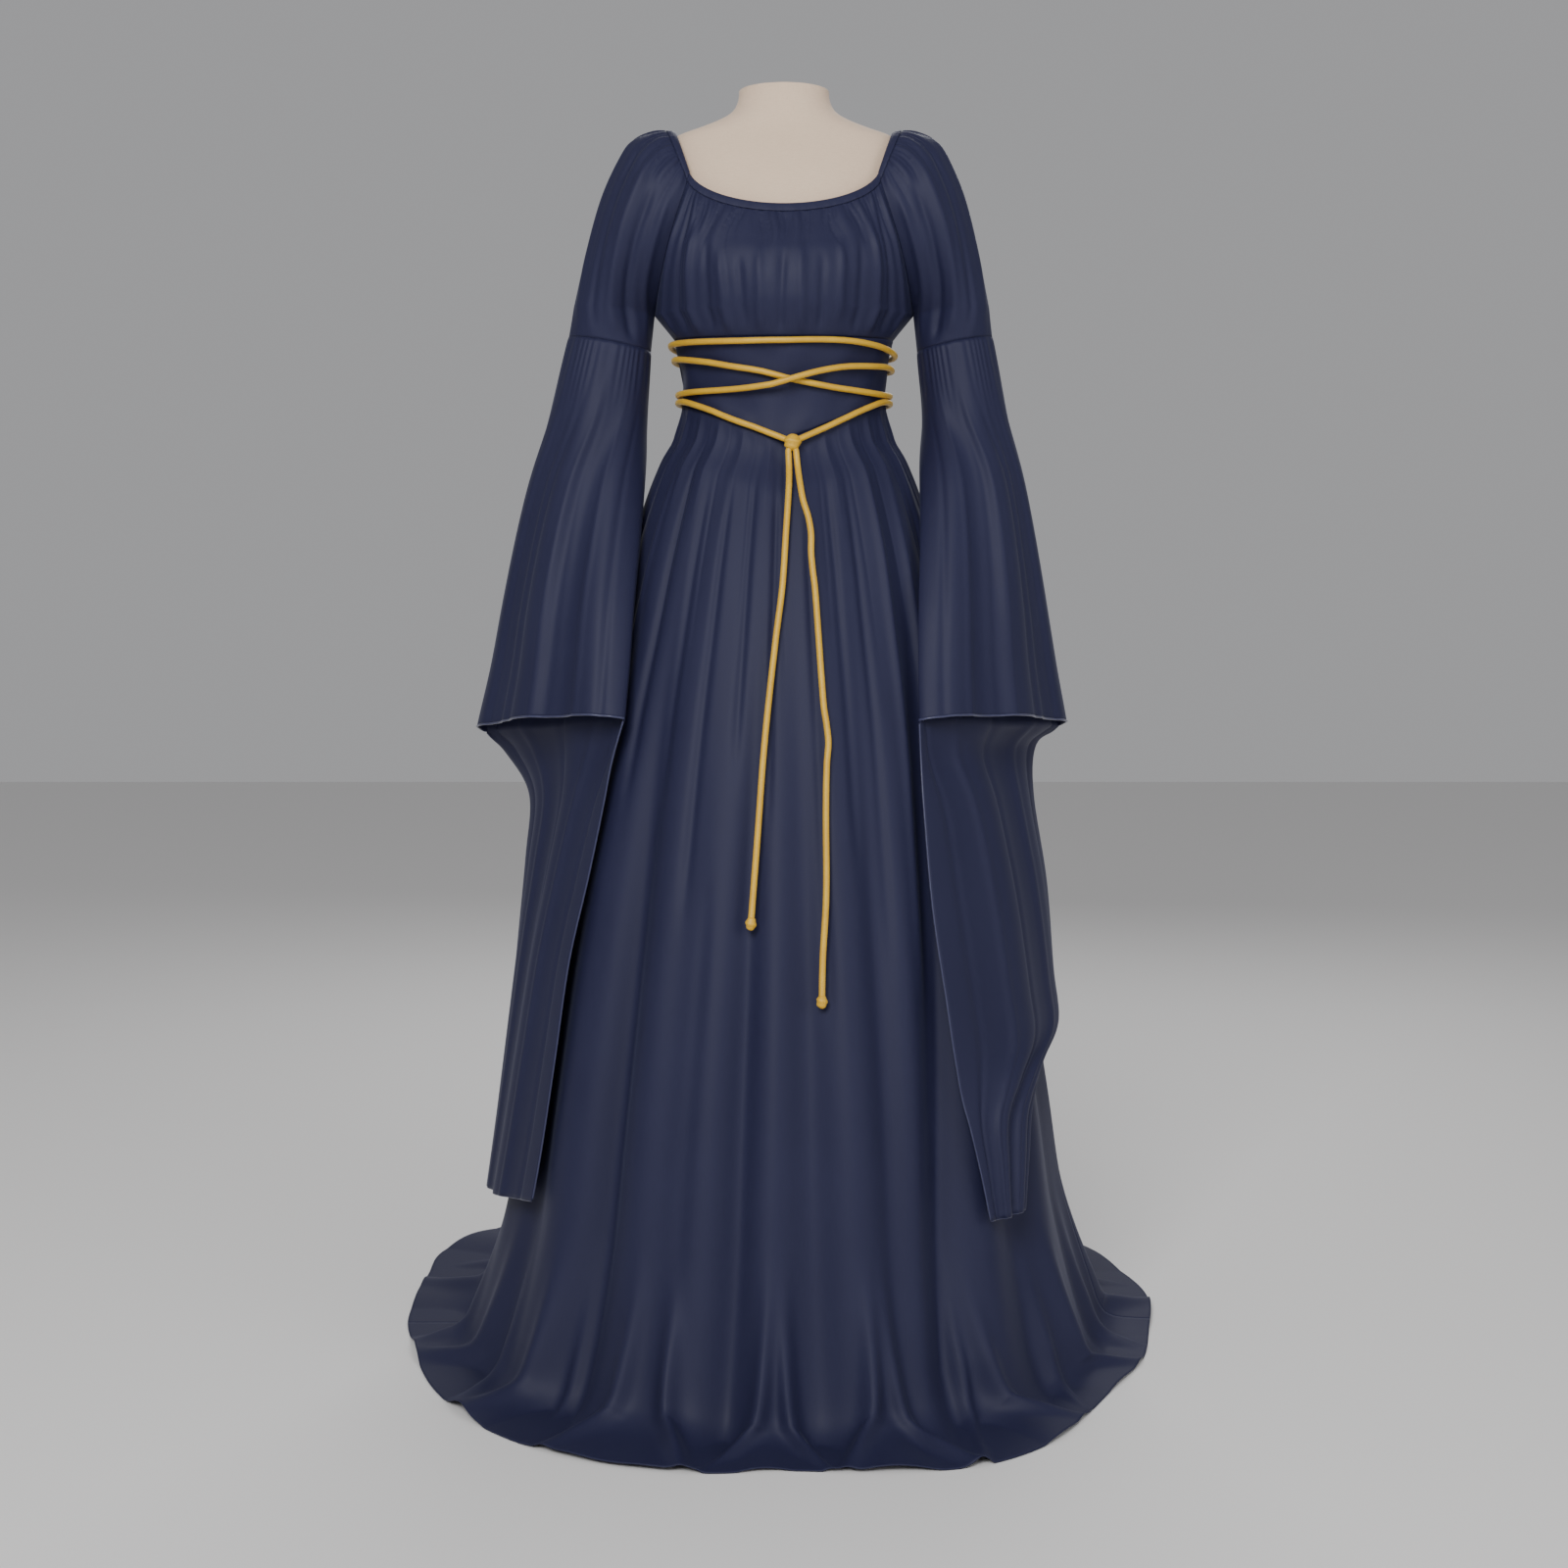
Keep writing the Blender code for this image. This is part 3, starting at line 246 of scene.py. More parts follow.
# Finer ones, of which the first lie on the front layer
SLEEVE_CREASES = (
    (-150, 4.0, -0.0022), (-128, 3.0, 0.0024), (-104, 3.5, -0.0028), (-97, 3.0, 0.0026),
    (-76, 3.5, -0.0026), (-68, 3.0, 0.0022), (-50, 4.0, -0.0022), (-28, 4.5, 0.0020),
    (28, 4.5, 0.0020), (62, 4.0, -0.0024), (96, 4.0, 0.0026), (126, 3.5, -0.0024), (156, 4.0, 0.0022),
)

# Cord
CORD_RADIUS = 0.00375
CORD_CLEAR = 0.0022
CROSSING_LIFT = 0.0100
CORD_STEP = 6
CORD_TO_LEFT = ((0, 1.232), (31, 1.2339), (55, 1.2314), (72, 1.2284), (90, 1.2270), (150, 1.2275),
                (180, 1.2235), (210, 1.2195), (270, 1.2215), (285, 1.2205), (316, 1.2112),
                (333, 1.2035), (348, 1.1972), (362, 1.1885), (376, 1.1825), (392, 1.1782),
                (423, 1.1760), (450, 1.1785), (510, 1.1795), (540, 1.1745), (570, 1.1695),
                (630, 1.1700), (652, 1.1680), (675, 1.1560), (693, 1.1409), (710, 1.1275))
CORD_TO_RIGHT = ((0, 1.232), (26, 1.2325), (76, 1.2387), (90, 1.2395), (150, 1.2305), (180, 1.2235),
                 (210, 1.2160), (270, 1.2095), (290, 1.2098), (317, 1.2061), (328, 1.2038),
                 (339, 1.1991), (348, 1.1936), (358, 1.1860), (366, 1.1805), (387, 1.1770),
                 (427, 1.1785), (450, 1.1798), (510, 1.1795), (540, 1.1745), (570, 1.1695),
                 (630, 1.1690), (653, 1.1675), (672, 1.1564), (688, 1.1420), (702, 1.1275))
CROSSINGS = ((180, "left", 26), (360, "right", 19), (540, "left", 26))
KNOT = (0.0100, 1.113)
KNOT_SIZE = (0.0100, 0.0078, 0.0098)
KNOT_CLEAR = 0.0135
TAIL_CLEAR = 0.0030
TAIL_STEP = 0.020
TAIL = {
    "right": ((1.1028, 0.0052), (1.068, 0.006), (1.000, 0.002), (0.940, -0.002), (0.885, -0.009),
              (0.765, -0.022), (0.645, -0.031), (0.566, -0.037)),
    "left": ((1.1028, 0.0142), (1.085, 0.016), (1.045, 0.022), (1.012, 0.031), (0.975, 0.032),
             (0.940, 0.036), (0.802, 0.046), (0.766, 0.051), (0.735, 0.049), (0.680, 0.048),
             (0.590, 0.048), (0.520, 0.044), (0.480, 0.043)),
}
TAIL_KNOT_SIZE = (0.0062, 0.0056, 0.0080)
SIDES = {"left": 1, "right": -1}


def read_table(rows, at):
    """A table's other columns at values of its first, on a smooth curve through its rows."""
    table = np.array(sorted(rows), float)
    keys, values = table[:, 0], table[:, 1:]
    at = np.clip(np.asarray(at, float), keys[0], keys[-1])
    last = len(keys) - 1
    before = np.maximum(np.arange(last + 1) - 1, 0)
    after = np.minimum(np.arange(last + 1) + 1, last)
    slopes = (values[after] - values[before]) / (keys[after] - keys[before])[:, None]
    low = np.clip(np.searchsorted(keys, at, "right") - 1, 0, last - 1)
    span = (keys[low + 1] - keys[low])[..., None]
    t = (at - keys[low])[..., None] / span
    start, end = values[low], values[low + 1]
    out, into = slopes[low] * span, slopes[low + 1] * span
    found = (start + t * out + t * t * (3 * (end - start) - 2 * out - into)
             + t ** 3 * (2 * (start - end) + out + into))
    return np.moveaxis(found, -1, 0)


def mix(low, high, share):
    return low + (high - low) * share


def ease(share):
    share = np.clip(share, 0, 1)
    return share * share * (3 - 2 * share)


def uneven(index, least):
    return least + (1 - least) * (0.5 + 0.5 * np.sin(index * 2.4 + 0.9))


def bell(distance, spread):
    return np.exp(-(distance / spread) ** 2)


def turn_between(angle, other):
    return (angle - other + 180) % 360 - 180


def stack(x, y, z):
    return np.stack(np.broadcast_arrays(x, y, z), -1).astype(float)


def ring_point(angle, half_width, front, back, height):
    turn = np.radians(angle)
    depth = np.where(np.cos(turn) > 0, front, back)
    return stack(half_width * np.sin(turn), -depth * np.cos(turn), height)


def upper_sleeve_point(side, swing, row):
    head = read_table(SLEEVE_HEAD, row)
    past = np.maximum(row - 7, 0)
    wrap = np.radians(head[0])
    depth = mix(head[1], ELBOW[0], past)
    seam_x = mix(head[2], ELBOW[1], past)
    seam_z = mix(np.where(swing < 0, head[3], head[4]), ELBOW[2], past)
    outer_x = mix(head[5], ELBOW[3], past)
    outer_z = mix(head[6], ELBOW[4], past)
    if side > 0:
        outer_x = outer_x - LEFT_SLEEVE_SLIMMER * np.maximum(row - 4, 0) / 4
    share = np.maximum((np.cos(swing * wrap) - np.cos(wrap)) / (1 - np.cos(wrap)), 0)
    share = share ** mix(head[7], 1, past)
    return stack(side * mix(seam_x, outer_x, share), depth * np.sin(swing * wrap),
                 mix(seam_z, outer_z, share))


def bodice_point(across, row, facing):
    bow, front_y, front_z, back_y, back_z = read_table(BODICE_CENTRE, row)
    turn, depth, seam_x, front_seam, back_seam = read_table(SLEEVE_HEAD, row)[:5]
    past = np.maximum(row - 7, 0)
    seam_y = facing * depth * np.sin(np.radians(turn))
    seam_x = mix(seam_x, BODICE_END[0], past)
    seam_z = mix(front_seam if facing < 0 else back_seam, BODICE_END[1], past)
    centre_y = -front_y if facing < 0 else back_y
    centre_z = front_z if facing < 0 else back_z
    bow = np.radians(bow)
    share = (np.cos(across * bow) - np.cos(bow)) / (1 - np.cos(bow))
    return stack(seam_x * np.sin(across * bow) / np.sin(bow), mix(seam_y, centre_y, share),
                 mix(seam_z, centre_z, share))


def waist_top(angle):
    facing = np.cos(np.radians(angle))
    centre = np.where(facing > 0, BODICE_CENTRE[-1][3], BODICE_CENTRE[-1][5])
    return mix(BODICE_END[1], centre, np.abs(facing))


def waist_seam(angle):
    drop = np.where(np.cos(np.radians(angle)) > 0, WAIST_POINT_DROP, WAIST_BACK_DROP)
    return WAIST_SEAM_HEIGHT - drop * (1 - np.abs(np.sin(np.radians(angle))))


def waist_point(angle, down):
    half_width, front, back = read_table(WAIST_PANEL, down)
    return ring_point(angle, half_width, front, back, mix(waist_top(angle), waist_seam(angle), down))


def skirt_point(angle, station):
    """The skirt's smooth shape: station 0 is the waist seam, 1 the floor turn and 2 the hem."""
    top = waist_seam(angle)
    height = mix(top, FLOOR_TURN, np.minimum(station, 1))
    leave = ease((top - height) / SETTLE)
    sizes = [mix(a, b, leave) for a, b in zip(read_table(WAIST_PANEL, 1.0), read_table(SKIRT, height))]
    wall = ring_point(angle, *sizes, height)
    out = np.maximum(station - 1, 0)
    reach = read_table(HEM, turn_between(angle, 0))[0]
    hem = ring_point(angle, reach, reach, reach, FLOOR_CLOTH)
    point = wall + (hem - wall) * out[..., None]
    point[..., 2] = np.where(out > 0, mix(FLOOR_TURN, FLOOR_CLOTH, 1 - np.maximum(1 - out / 0.35, 0) ** 2),
                             point[..., 2])
    return point


def pleat(place, sharp):
    """Rounded ridges between narrow valleys at whole places; sharp runs from 0 to 1."""
    wave = np.abs(np.sin(np.pi * place))
    return mix(wave ** 2, wave ** 0.7, sharp)


def skirt_relief(angle, station):
    place = (angle + 90) / 180 * GATHERS
    sharp = 1 - ease(station / 0.35)
    relief = read_table(SKIRT_GATHERS, station)[0] * pleat(place, sharp) * uneven(np.floor(place), 0.5)
    half_gather = 1 - ease(station / 0.16)
    relief = relief - 0.0022 * half_gather * ease(station / 0.02) * pleat(2 * place, 0.6)
    for at_waist, at_hem, spread, size in SKIRT_FOLDS:
        centre = mix(at_waist, at_hem, np.minimum(station, 1))
        grown = ease(station / 0.8) * (1 - 0.45 * np.maximum(station - 1, 0))
        relief = relief + size * grown * bell(turn_between(angle, centre), spread)
    for at_top, at_foot, top, foot, spread, size in SKIRT_CREASES:
        share = (station - top) / (foot - top)
        centre = mix(at_top, at_foot, np.clip(share, 0, 1))
        there = ease(share * 4) * ease((1.12 - share) * 4)
        relief = relief + size * there * bell(turn_between(angle, centre), spread)
    for at_turn, at_hem, spread, size in HEM_BUCKLES:
        out = np.clip((station - 0.9) / 1.1, 0, 1)
        centre = mix(at_turn, at_hem, out)
        there = ease((station - 0.84) / 0.2) * (1 - 0.55 * ease((station - 1.45) / 0.55))
        relief = relief + size * there * bell(turn_between(angle, centre), spread * mix(1, 0.8, out))
    return relief


def gather_relief(place, row):
    """The gathers below the neck's casing: each splits in two near the top, and ends at its own row."""
    wander = place + 0.22 * np.sin(place * 1.7 + row * 0.6) * ease((row - 1) / 2)
    sharp = 1 - ease((row - 1.5) / 3.5)
    number = np.floor(wander)
    size = read_table(NECK_GATHERS, row)[0]
    relief = size * (pleat(wander, sharp) - 0.45) * uneven(number, 0.35)
    half = np.floor(2 * wander + 0.5)
    length = 1.9 + 1.1 * uneven(half * 1.7, 0.0)
    small = ease((row - 1.0) / 0.25) * (1 - ease((row - length * 0.7) / (length * 0.6)))
    relief = relief + 0.0026 * small * (pleat(2 * wander + 0.5, 0.7) - 0.5) * uneven(half, 0.3)
    from_seam = np.minimum(place, GATHERS - place)
    low = ease((row - 4.0) / 2.0)
    fade = ease(from_seam / 0.8) * mix(1.0, ease((from_seam - 1) / 1.6), low)
    return relief * fade


def fold_relief(folds, place, row):
    relief = 0
    for at_top, at_foot, top, foot, spread, size in folds:
        share = (row - top) / (foot - top)
        centre = mix(at_top, at_foot, np.clip(share, 0, 1) ** 0.8)
        there = ease(share * 3) * ease((1.1 - share) * 4)
        relief = relief + size * there * bell(place - centre, spread)
    return relief * ease((1 - np.abs(place)) / 0.12) * ease((8 - row) / 0.5)


def outward(points):
    """Directions square to a net of points, whose rows run anticlockwise seen from above, top first."""
    down = np.gradient(points, axis=0)
    across = np.gradient(points, axis=1)
    normal = np.cross(down, across)
    length = np.linalg.norm(normal, axis=-1, keepdims=True)
    return normal / np.maximum(length, 1e-12)


def raise_relief(points, relief, floor=False):
    normal = outward(points)
    if floor:
        above = (points[..., 2] - FLOOR_CLOTH) / np.maximum(normal[..., 2], 0.15)
        relief = np.maximum(relief, -above)
    return points + normal * relief[..., None]


def net_faces(rows, columns, start=0):
    index = start + np.arange(rows * columns).reshape(rows, columns)
    return np.stack([index[:-1, :-1], index[1:, :-1], index[1:, 1:], index[:-1, 1:]], -1).reshape(-1, 4)


def lay_out(points):
    """Flat places for a net of points, in metres: along its middle row and down its middle column."""
    widest = points[points.shape[0] // 2]
    across = np.concatenate([[0], np.cumsum(np.linalg.norm(np.diff(widest, axis=0), axis=1))])
    middle = points[:, points.shape[1] // 2]
    down = np.concatenate([[0], np.cumsum(np.linalg.norm(np.diff(middle, axis=0), axis=1))])
    return np.stack(np.meshgrid(across, -down), -1)


def cloth(name, nets, finish, thickness=CLOTH):
    """One piece of cloth from one or more nets that share their points where they meet."""
    points = np.concatenate([net.reshape(-1, 3) for net in nets])
    faces, places, start = [], [], 0
    for net in nets:
        faces.append(net_faces(net.shape[0], net.shape[1], start))
        places.append(lay_out(net).reshape(-1, 2))
        start += net.shape[0] * net.shape[1]
    faces, places = np.concatenate(faces), np.concatenate(places)
    mesh = bpy.data.meshes.new(name)
    mesh.from_pydata(points.tolist(), [], faces.tolist())
    layer = mesh.uv_layers.new(name="cloth")
    layer.data.foreach_set("uv", places[faces.reshape(-1)].astype(np.float32).reshape(-1))
    net = bmesh.new()
    net.from_mesh(mesh)
    bmesh.ops.remove_doubles(net, verts=net.verts, dist=2e-6)
    net.to_mesh(mesh)
    net.free()
    mesh.shade_smooth()
    mesh.materials.append(finish)
    piece = bpy.data.objects.new(name, mesh)
    bpy.context.scene.collection.objects.link(piece)
    wall = piece.modifiers.new("thickness", "SOLIDIFY")
    wall.thickness = thickness
    wall.offset = -1
    wall.use_even_offset = False
    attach(piece, "root")
    return piece


# Materials


class Value:
    """A shader socket that Python's arithmetic works on."""

    def __init__(self, nodes, socket):
        self.nodes = nodes
        self.socket = socket

    def math(self, operation, other=None, swap=False):
        pair = [self, other] if not swap else [other, self]
        inputs = {i: value for i, value in enumerate(pair) if value is not None}
        return self.nodes.add("ShaderNodeMath", {"operation": operation}, inputs)

    def __add__(self, other):
        return self.math("ADD", other)

    __radd__ = __add__

    def __sub__(self, other):
        return self.math("SUBTRACT", other)

    def __rsub__(self, other):
        return self.math("SUBTRACT", other, swap=True)

    def __mul__(self, other):
        return self.math("MULTIPLY", other)

    __rmul__ = __mul__

    def clip(self):
        return self.nodes.add("ShaderNodeClamp", {}, {0: self})


class Finish:
    """One material's nodes."""

    def __init__(self, name, **constants):
        self.material = bpy.data.materials.new(name)
        self.material.use_nodes = True
        self.tree = self.material.node_tree
        self.shader = self.tree.nodes["Principled BSDF"]
        for socket, value in constants.items():
            self.shader.inputs[socket.replace("_", " ")].default_value = value

    def add(self, kind, settings, inputs, output=0):
        node = self.tree.nodes.new(kind)
        for name, value in settings.items():
            if name == "stops":
                ramp = node.color_ramp
                while len(ramp.elements) < len(value):
                    ramp.elements.new(0.5)
                for element, (place, colour) in zip(ramp.elements, value):
                    element.position = place
                    element.color = (*colour, 1)
            else:
                setattr(node, name, value)
        for name, value in inputs.items():
            if isinstance(value, Value):
                self.tree.links.new(value.socket, node.inputs[name])
            else:
                node.inputs[name].default_value = value
        return Value(self, node.outputs[output])

    def link(self, value, name):
        self.tree.links.new(value.socket, self.shader.inputs[name])

    def place(self):
        return self.add("ShaderNodeTexCoord", {}, {}, "Object")

    def flat_place(self):
        return self.add("ShaderNodeUVMap", {"uv_map": "cloth"}, {}, "UV")

    def stretch(self, vector, scale):
        return self.add("ShaderNodeMapping", {}, {"Vector": vector, "Scale": scale})

    def noise(self, vector, scale, detail=3.0, roughness=0.5):
        return self.add("ShaderNodeTexNoise", {}, {"Vector": vector, "Scale": scale, "Detail": detail,
                                                   "Roughness": roughness})

    def blend(self, share, low, high):
        return self.add("ShaderNodeMix", {"data_type": "RGBA"}, {0: share, 6: low, 7: high}, 2)

    def bump(self, height, depth, strength):
        return self.add("ShaderNodeBump", {}, {"Height": height, "Distance": depth, "Strength": strength})


def weave(finish, flat, threads):
    """Height of a plain weave, with a number of threads to the metre."""
    across = finish.add("ShaderNodeSeparateXYZ", {}, {0: flat})
    down = finish.add("ShaderNodeSeparateXYZ", {}, {0: flat}, 1)
    turn = math.pi * threads
    warp = (across * turn).math("SINE")
    weft = (down * turn).math("SINE")
    return warp * weft * 0.5 + 0.5


def make_navy_cloth():
    finish = Finish("navy_satin", Roughness=0.6, Specular_IOR_Level=0.22, Sheen_Weight=0.06, Sheen_Roughness=0.35)
    finish.shader.inputs["Sheen Tint"].default_value = (0.55, 0.60, 0.95, 1)
    place = finish.place()
    flat = finish.flat_place()
    slubs = finish.noise(finish.stretch(flat, (900, 60, 1)), 1.0, 2.0)
    cloudy = finish.noise(place, 6.0, 4.0, 0.6)
    tone = (slubs * 0.5 + cloudy * 0.6 - 0.05).clip()
    finish.link(finish.blend(tone, (0.0100, 0.0108, 0.036, 1), (0.0210, 0.0225, 0.058, 1)), "Base Color")
    finish.link(0.46 + slubs * 0.12 + cloudy * 0.10, "Roughness")
    threads = weave(finish, flat, 1300)
    height = threads * 0.6 + slubs * 0.7
    finish.link(finish.bump(height, 0.00018, 0.5), "Normal")
    return finish.material


# Rolled hems of the same navy cloth, coloured lighter than it: the lighter colour is a painted highlight, the
# light that the rolled satin edges catch.
def make_painted_highlight_hem():
    finish = Finish("painted_highlight_hem_satin", Roughness=0.36, Specular_IOR_Level=0.6, Sheen_Weight=0.3,
                    Sheen_Roughness=0.4)
    tone = finish.noise(finish.place(), 180.0, 2.0)
    # Painted highlight: both colours are lighter than the navy cloth's, so the hem rolls read as bright edges.
    finish.link(finish.blend(tone, (0.016, 0.018, 0.060, 1), (0.040, 0.044, 0.11, 1)), "Base Color")
    finish.link(finish.bump(tone, 0.0004, 0.6), "Normal")
    return finish.material


def make_gold_cord():
    """Satin cord; its fibres and cloudy tone come from noise in the object's space."""
    finish = Finish("gold_satin_cord", Roughness=0.42, Specular_IOR_Level=0.55, Sheen_Weight=0.2,
                    Sheen_Roughness=0.4)
    finish.shader.inputs["Sheen Tint"].default_value = (1.0, 0.85, 0.4, 1)
    place = finish.place()
    fibres = finish.noise(place, 900.0, 3.0, 0.6)
    cloudy = finish.noise(place, 45.0, 2.0)
    tone = (fibres * 0.7 + cloudy * 0.5 - 0.1).clip()
    finish.link(finish.blend(tone, (0.46, 0.22, 0.004, 1), (0.80, 0.50, 0.025, 1)), "Base Color")
    finish.link(0.34 + fibres * 0.2, "Roughness")
    finish.link(finish.bump(fibres, 0.0005, 0.45), "Normal")
    return finish.material


def make_linen():
    finish = Finish("form_linen", Roughness=0.85, Specular_IOR_Level=0.25, Sheen_Weight=0.15,
                    Sheen_Roughness=0.6)
    place = finish.place()
    warp = finish.noise(finish.stretch(place, (1500, 1500, 90)), 1.0, 2.0)
    weft = finish.noise(finish.stretch(place, (140, 140, 1600)), 1.0, 2.0)
    cloudy = finish.noise(place, 9.0, 3.0)
    tone = (warp * 0.5 + weft * 0.5 + cloudy * 0.4 - 0.25).clip()
    finish.link(finish.blend(tone, (0.62, 0.45, 0.32, 1), (0.82, 0.64, 0.49, 1)), "Base Color")
    finish.link(finish.bump(warp + weft, 0.0004, 0.5), "Normal")
    return finish.material


def make_black_metal():
    finish = Finish("stand_black", Roughness=0.4, Metallic=0.6, Specular_IOR_Level=0.5)
    grain = finish.noise(finish.place(), 500.0, 2.0)
    worn = finish.noise(finish.place(), 14.0, 4.0, 0.65)
    finish.link(finish.blend(worn, (0.018, 0.018, 0.02, 1), (0.05, 0.05, 0.052, 1)), "Base Color")
    finish.link(0.3 + grain * 0.15 + worn * 0.15, "Roughness")
    finish.link(finish.bump(grain, 0.0003, 0.4), "Normal")
    return finish.material


# Camera, then the cords


def set_camera():
    camera = bpy.data.objects.new("camera", bpy.data.cameras.new("camera"))
    bpy.context.scene.collection.objects.link(camera)
    camera.location = CAMERA_PLACE
    camera.rotation_euler = (math.radians(90 - CAMERA_DIP), 0, 0)
    camera.data.lens = CAMERA_LENS
    bpy.context.scene.camera = camera


def gown_surface(angle, height):
    top = waist_top(angle)
    seam = waist_seam(angle)
    if height >= seam:
        return waist_point(angle, (top - height) / (top - seam))
    return skirt_point(angle, np.asarray((seam - height) / (seam - FLOOR_TURN)))


def plain_relief(angle, station):
    """The relief that the cord lies over."""
    place = (angle + 90) / 180 * GATHERS
    return float(read_table(((0, 0), (0.04, 0.0035), (0.12, 0.006), (0.3, 0.005)), station)[0]
                 * (0.5 - 0.5 * math.cos(2 * math.pi * place)) * uneven(math.floor(place), 0.55))


def cord_half(heights, name):
    way = SIDES[name]
    end = heights[-1][0]
    count = round(end / CORD_STEP)
    points = []
    for i in range(count + 1):
        turn = end * i / count
        height = float(read_table(heights, turn)[0])
        places = [gown_surface(way * turn, height + step * CORD_RADIUS) for step in (-2, -1, 0, 1)]
        base = max(places, key=lambda place: float(np.hypot(place[0], place[1])))
        lift = CORD_RADIUS + CORD_CLEAR
        station = (waist_seam(way * turn) - height + 2 * CORD_RADIUS) / (WAIST_SEAM_HEIGHT - FLOOR_TURN)
        if station > 0:
            lift += max(plain_relief(way * turn, station), 0)
        for place, over, spread in CROSSINGS:
            if over == name:
                lift += CROSSING_LIFT * bell(turn - place, spread)
        way_out = Vector((base[0], base[1], 0)).normalized()
        points.append(Vector((base[0], base[1], height)) + way_out * float(lift))
    return points


def knot_middle():
    x, height = KNOT
    angle = math.degrees(math.asin(x / WAIST_PANEL[-1][2]))
    base = gown_surface(angle, height)
    return Vector((x, base[1] - KNOT_CLEAR, height))


def tube(name, points, radius, finish):
    curve = bpy.data.curves.new(name, "CURVE")
    curve.dimensions = "3D"
    curve.bevel_depth = radius
    curve.bevel_resolution = 5
    curve.use_fill_caps = True
    line = curve.splines.new("POLY")
    line.points.add(len(points) - 1)
    for spot, point in zip(line.points, points):
        spot.co = (*point, 1)
    curve.materials.append(finish)
    piece = bpy.data.objects.new(name, curve)
    bpy.context.scene.collection.objects.link(piece)
    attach(piece, "root")
    return piece


def tail_depth(x, height):
    deepest = 0
    for reach in (-0.012, 0, 0.012):
        half_width = float(read_table(SKIRT, height)[0])
        angle = math.degrees(math.asin((x + reach) / half_width))
        seam = waist_seam(angle)
        station = np.asarray(max((seam - height) / (seam - FLOOR_TURN), 0))
        relief = float(skirt_relief(np.asarray(angle), station))
        deepest = min(deepest, float(skirt_point(angle, station)[1]) - max(relief, 0))
    return deepest


def tail_points(side, step):
    rows = TAIL[side]
    top, bottom = rows[0][0], rows[-1][0]
    coarse = round((top - bottom) / TAIL_STEP)
    start = knot_middle()
    spots = []
    for i in range(coarse + 1):
        height = mix(top, bottom, i / coarse)
        x = float(read_table(rows, height)[0])
        on_skirt = tail_depth(x, height) - CORD_RADIUS - TAIL_CLEAR
        spots.append((-height, x, min(on_skirt, mix(start.y, on_skirt, float(ease(i / 3))))))
    fine = np.linspace(-top, -bottom, coarse * step + 1)
    x, y = read_table(spots, fine)
    return [Vector((a, b, -c)) for a, b, c in zip(x, y, fine)]


def lump(name, middle, size, finish, tilt=0.0):
    """A pulled-tight overhand knot: a rounded body with a strand wrapped over it."""
    bpy.ops.object.select_all(action="DESELECT")
    bpy.ops.mesh.primitive_uv_sphere_add(segments=48, ring_count=28, radius=1, location=(0, 0, 0))
    piece = bpy.context.object
    piece.name = name
    for vertex in piece.data.vertices:
        x, y, z = vertex.co
        turn = math.atan2(y, x)
        strand = math.cos(2.2 * z * math.pi + turn * 1.0 + tilt)
        swell = 1 + 0.075 * strand - 0.10 * max(abs(z) - 0.6, 0)
        vertex.co = (x * swell * size[0], y * swell * size[1], z * size[2])
    piece.data.transform(piece.matrix_world.inverted())
    piece.data.transform(piece.matrix_world.Translation(middle))
    bpy.ops.object.shade_smooth()
    piece.data.materials.append(finish)
    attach(piece, "root")
    return piece


def length_of(points):
    return sum((b - a).length for a, b in zip(points, points[1:]))


def make_cords(finish):
    middle = knot_middle()
    halves = []
    for heights, name in ((CORD_TO_RIGHT, "right"), (CORD_TO_LEFT, "left")):
        points = cord_half(heights, name)
        points[-1] = points[-1].lerp(middle, 0.75)
        halves.append(points)
    belt = halves[0][::-1] + halves[1][1:]
    piece = tube("belt_cord", belt, CORD_RADIUS, finish)
    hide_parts("waist_cord")
    knot = lump("belt_knot", middle, KNOT_SIZE, finish, 0.4)
    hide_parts("waist_knot")
    for side, tilt in (("left", 0.0), ("right", 1.7)):
        points = tail_points(side, 5)
        end = points[-1] + (points[-1] - points[-2]).normalized() * TAIL_KNOT_SIZE[2]
        start = points[0]
        points = [start.lerp(middle, 0.35)] + points + [end]
        tail = tube("cord_end_" + side, points, CORD_RADIUS, finish)
        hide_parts("cord_tail_" + side)
        end_knot = lump("end_knot_" + side, end, TAIL_KNOT_SIZE, finish, tilt)
        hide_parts("tail_knot_" + side)
        round(length_of(points), 3)


# Cloth pieces


def gathered_rows():
    """Rows from the casing down, closer together where the gathers are."""
    return np.concatenate([np.linspace(1, 3, 41), np.linspace(3, 8, 61)[1:]])


def make_bodice(facing, name, node, folds, finish):
    across = np.linspace(-1, 1, TOP_COLUMNS) * (1 if facing < 0 else -1)
    rows = gathered_rows()
    s, v = np.meshgrid(across, rows)
    points = bodice_point(s, v, facing)
    relief = gather_relief((s + 1) / 2 * GATHERS, v) + fold_relief(folds, s, v)
    piece = cloth(name, [raise_relief(points, relief)], finish)
    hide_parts(node)
    return piece


def make_upper_sleeve(name, side, finish):
    swing = np.linspace(-1, 1, TOP_COLUMNS) * side
    rows = gathered_rows()
    s, v = np.meshgrid(swing, rows)
    points = upper_sleeve_point(side, s, v)
    relief = gather_relief((s + 1) / 2 * GATHERS, v) + fold_relief(UPPER_SLEEVE_FOLDS, s, v)
    points = raise_relief(points, relief)
    ring = rows >= 7
    points[ring, -1] = points[ring, 0]
    piece = cloth("upper_sleeve_" + name, [points], finish)
    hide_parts("sleeve_upper_" + name)
    return piece


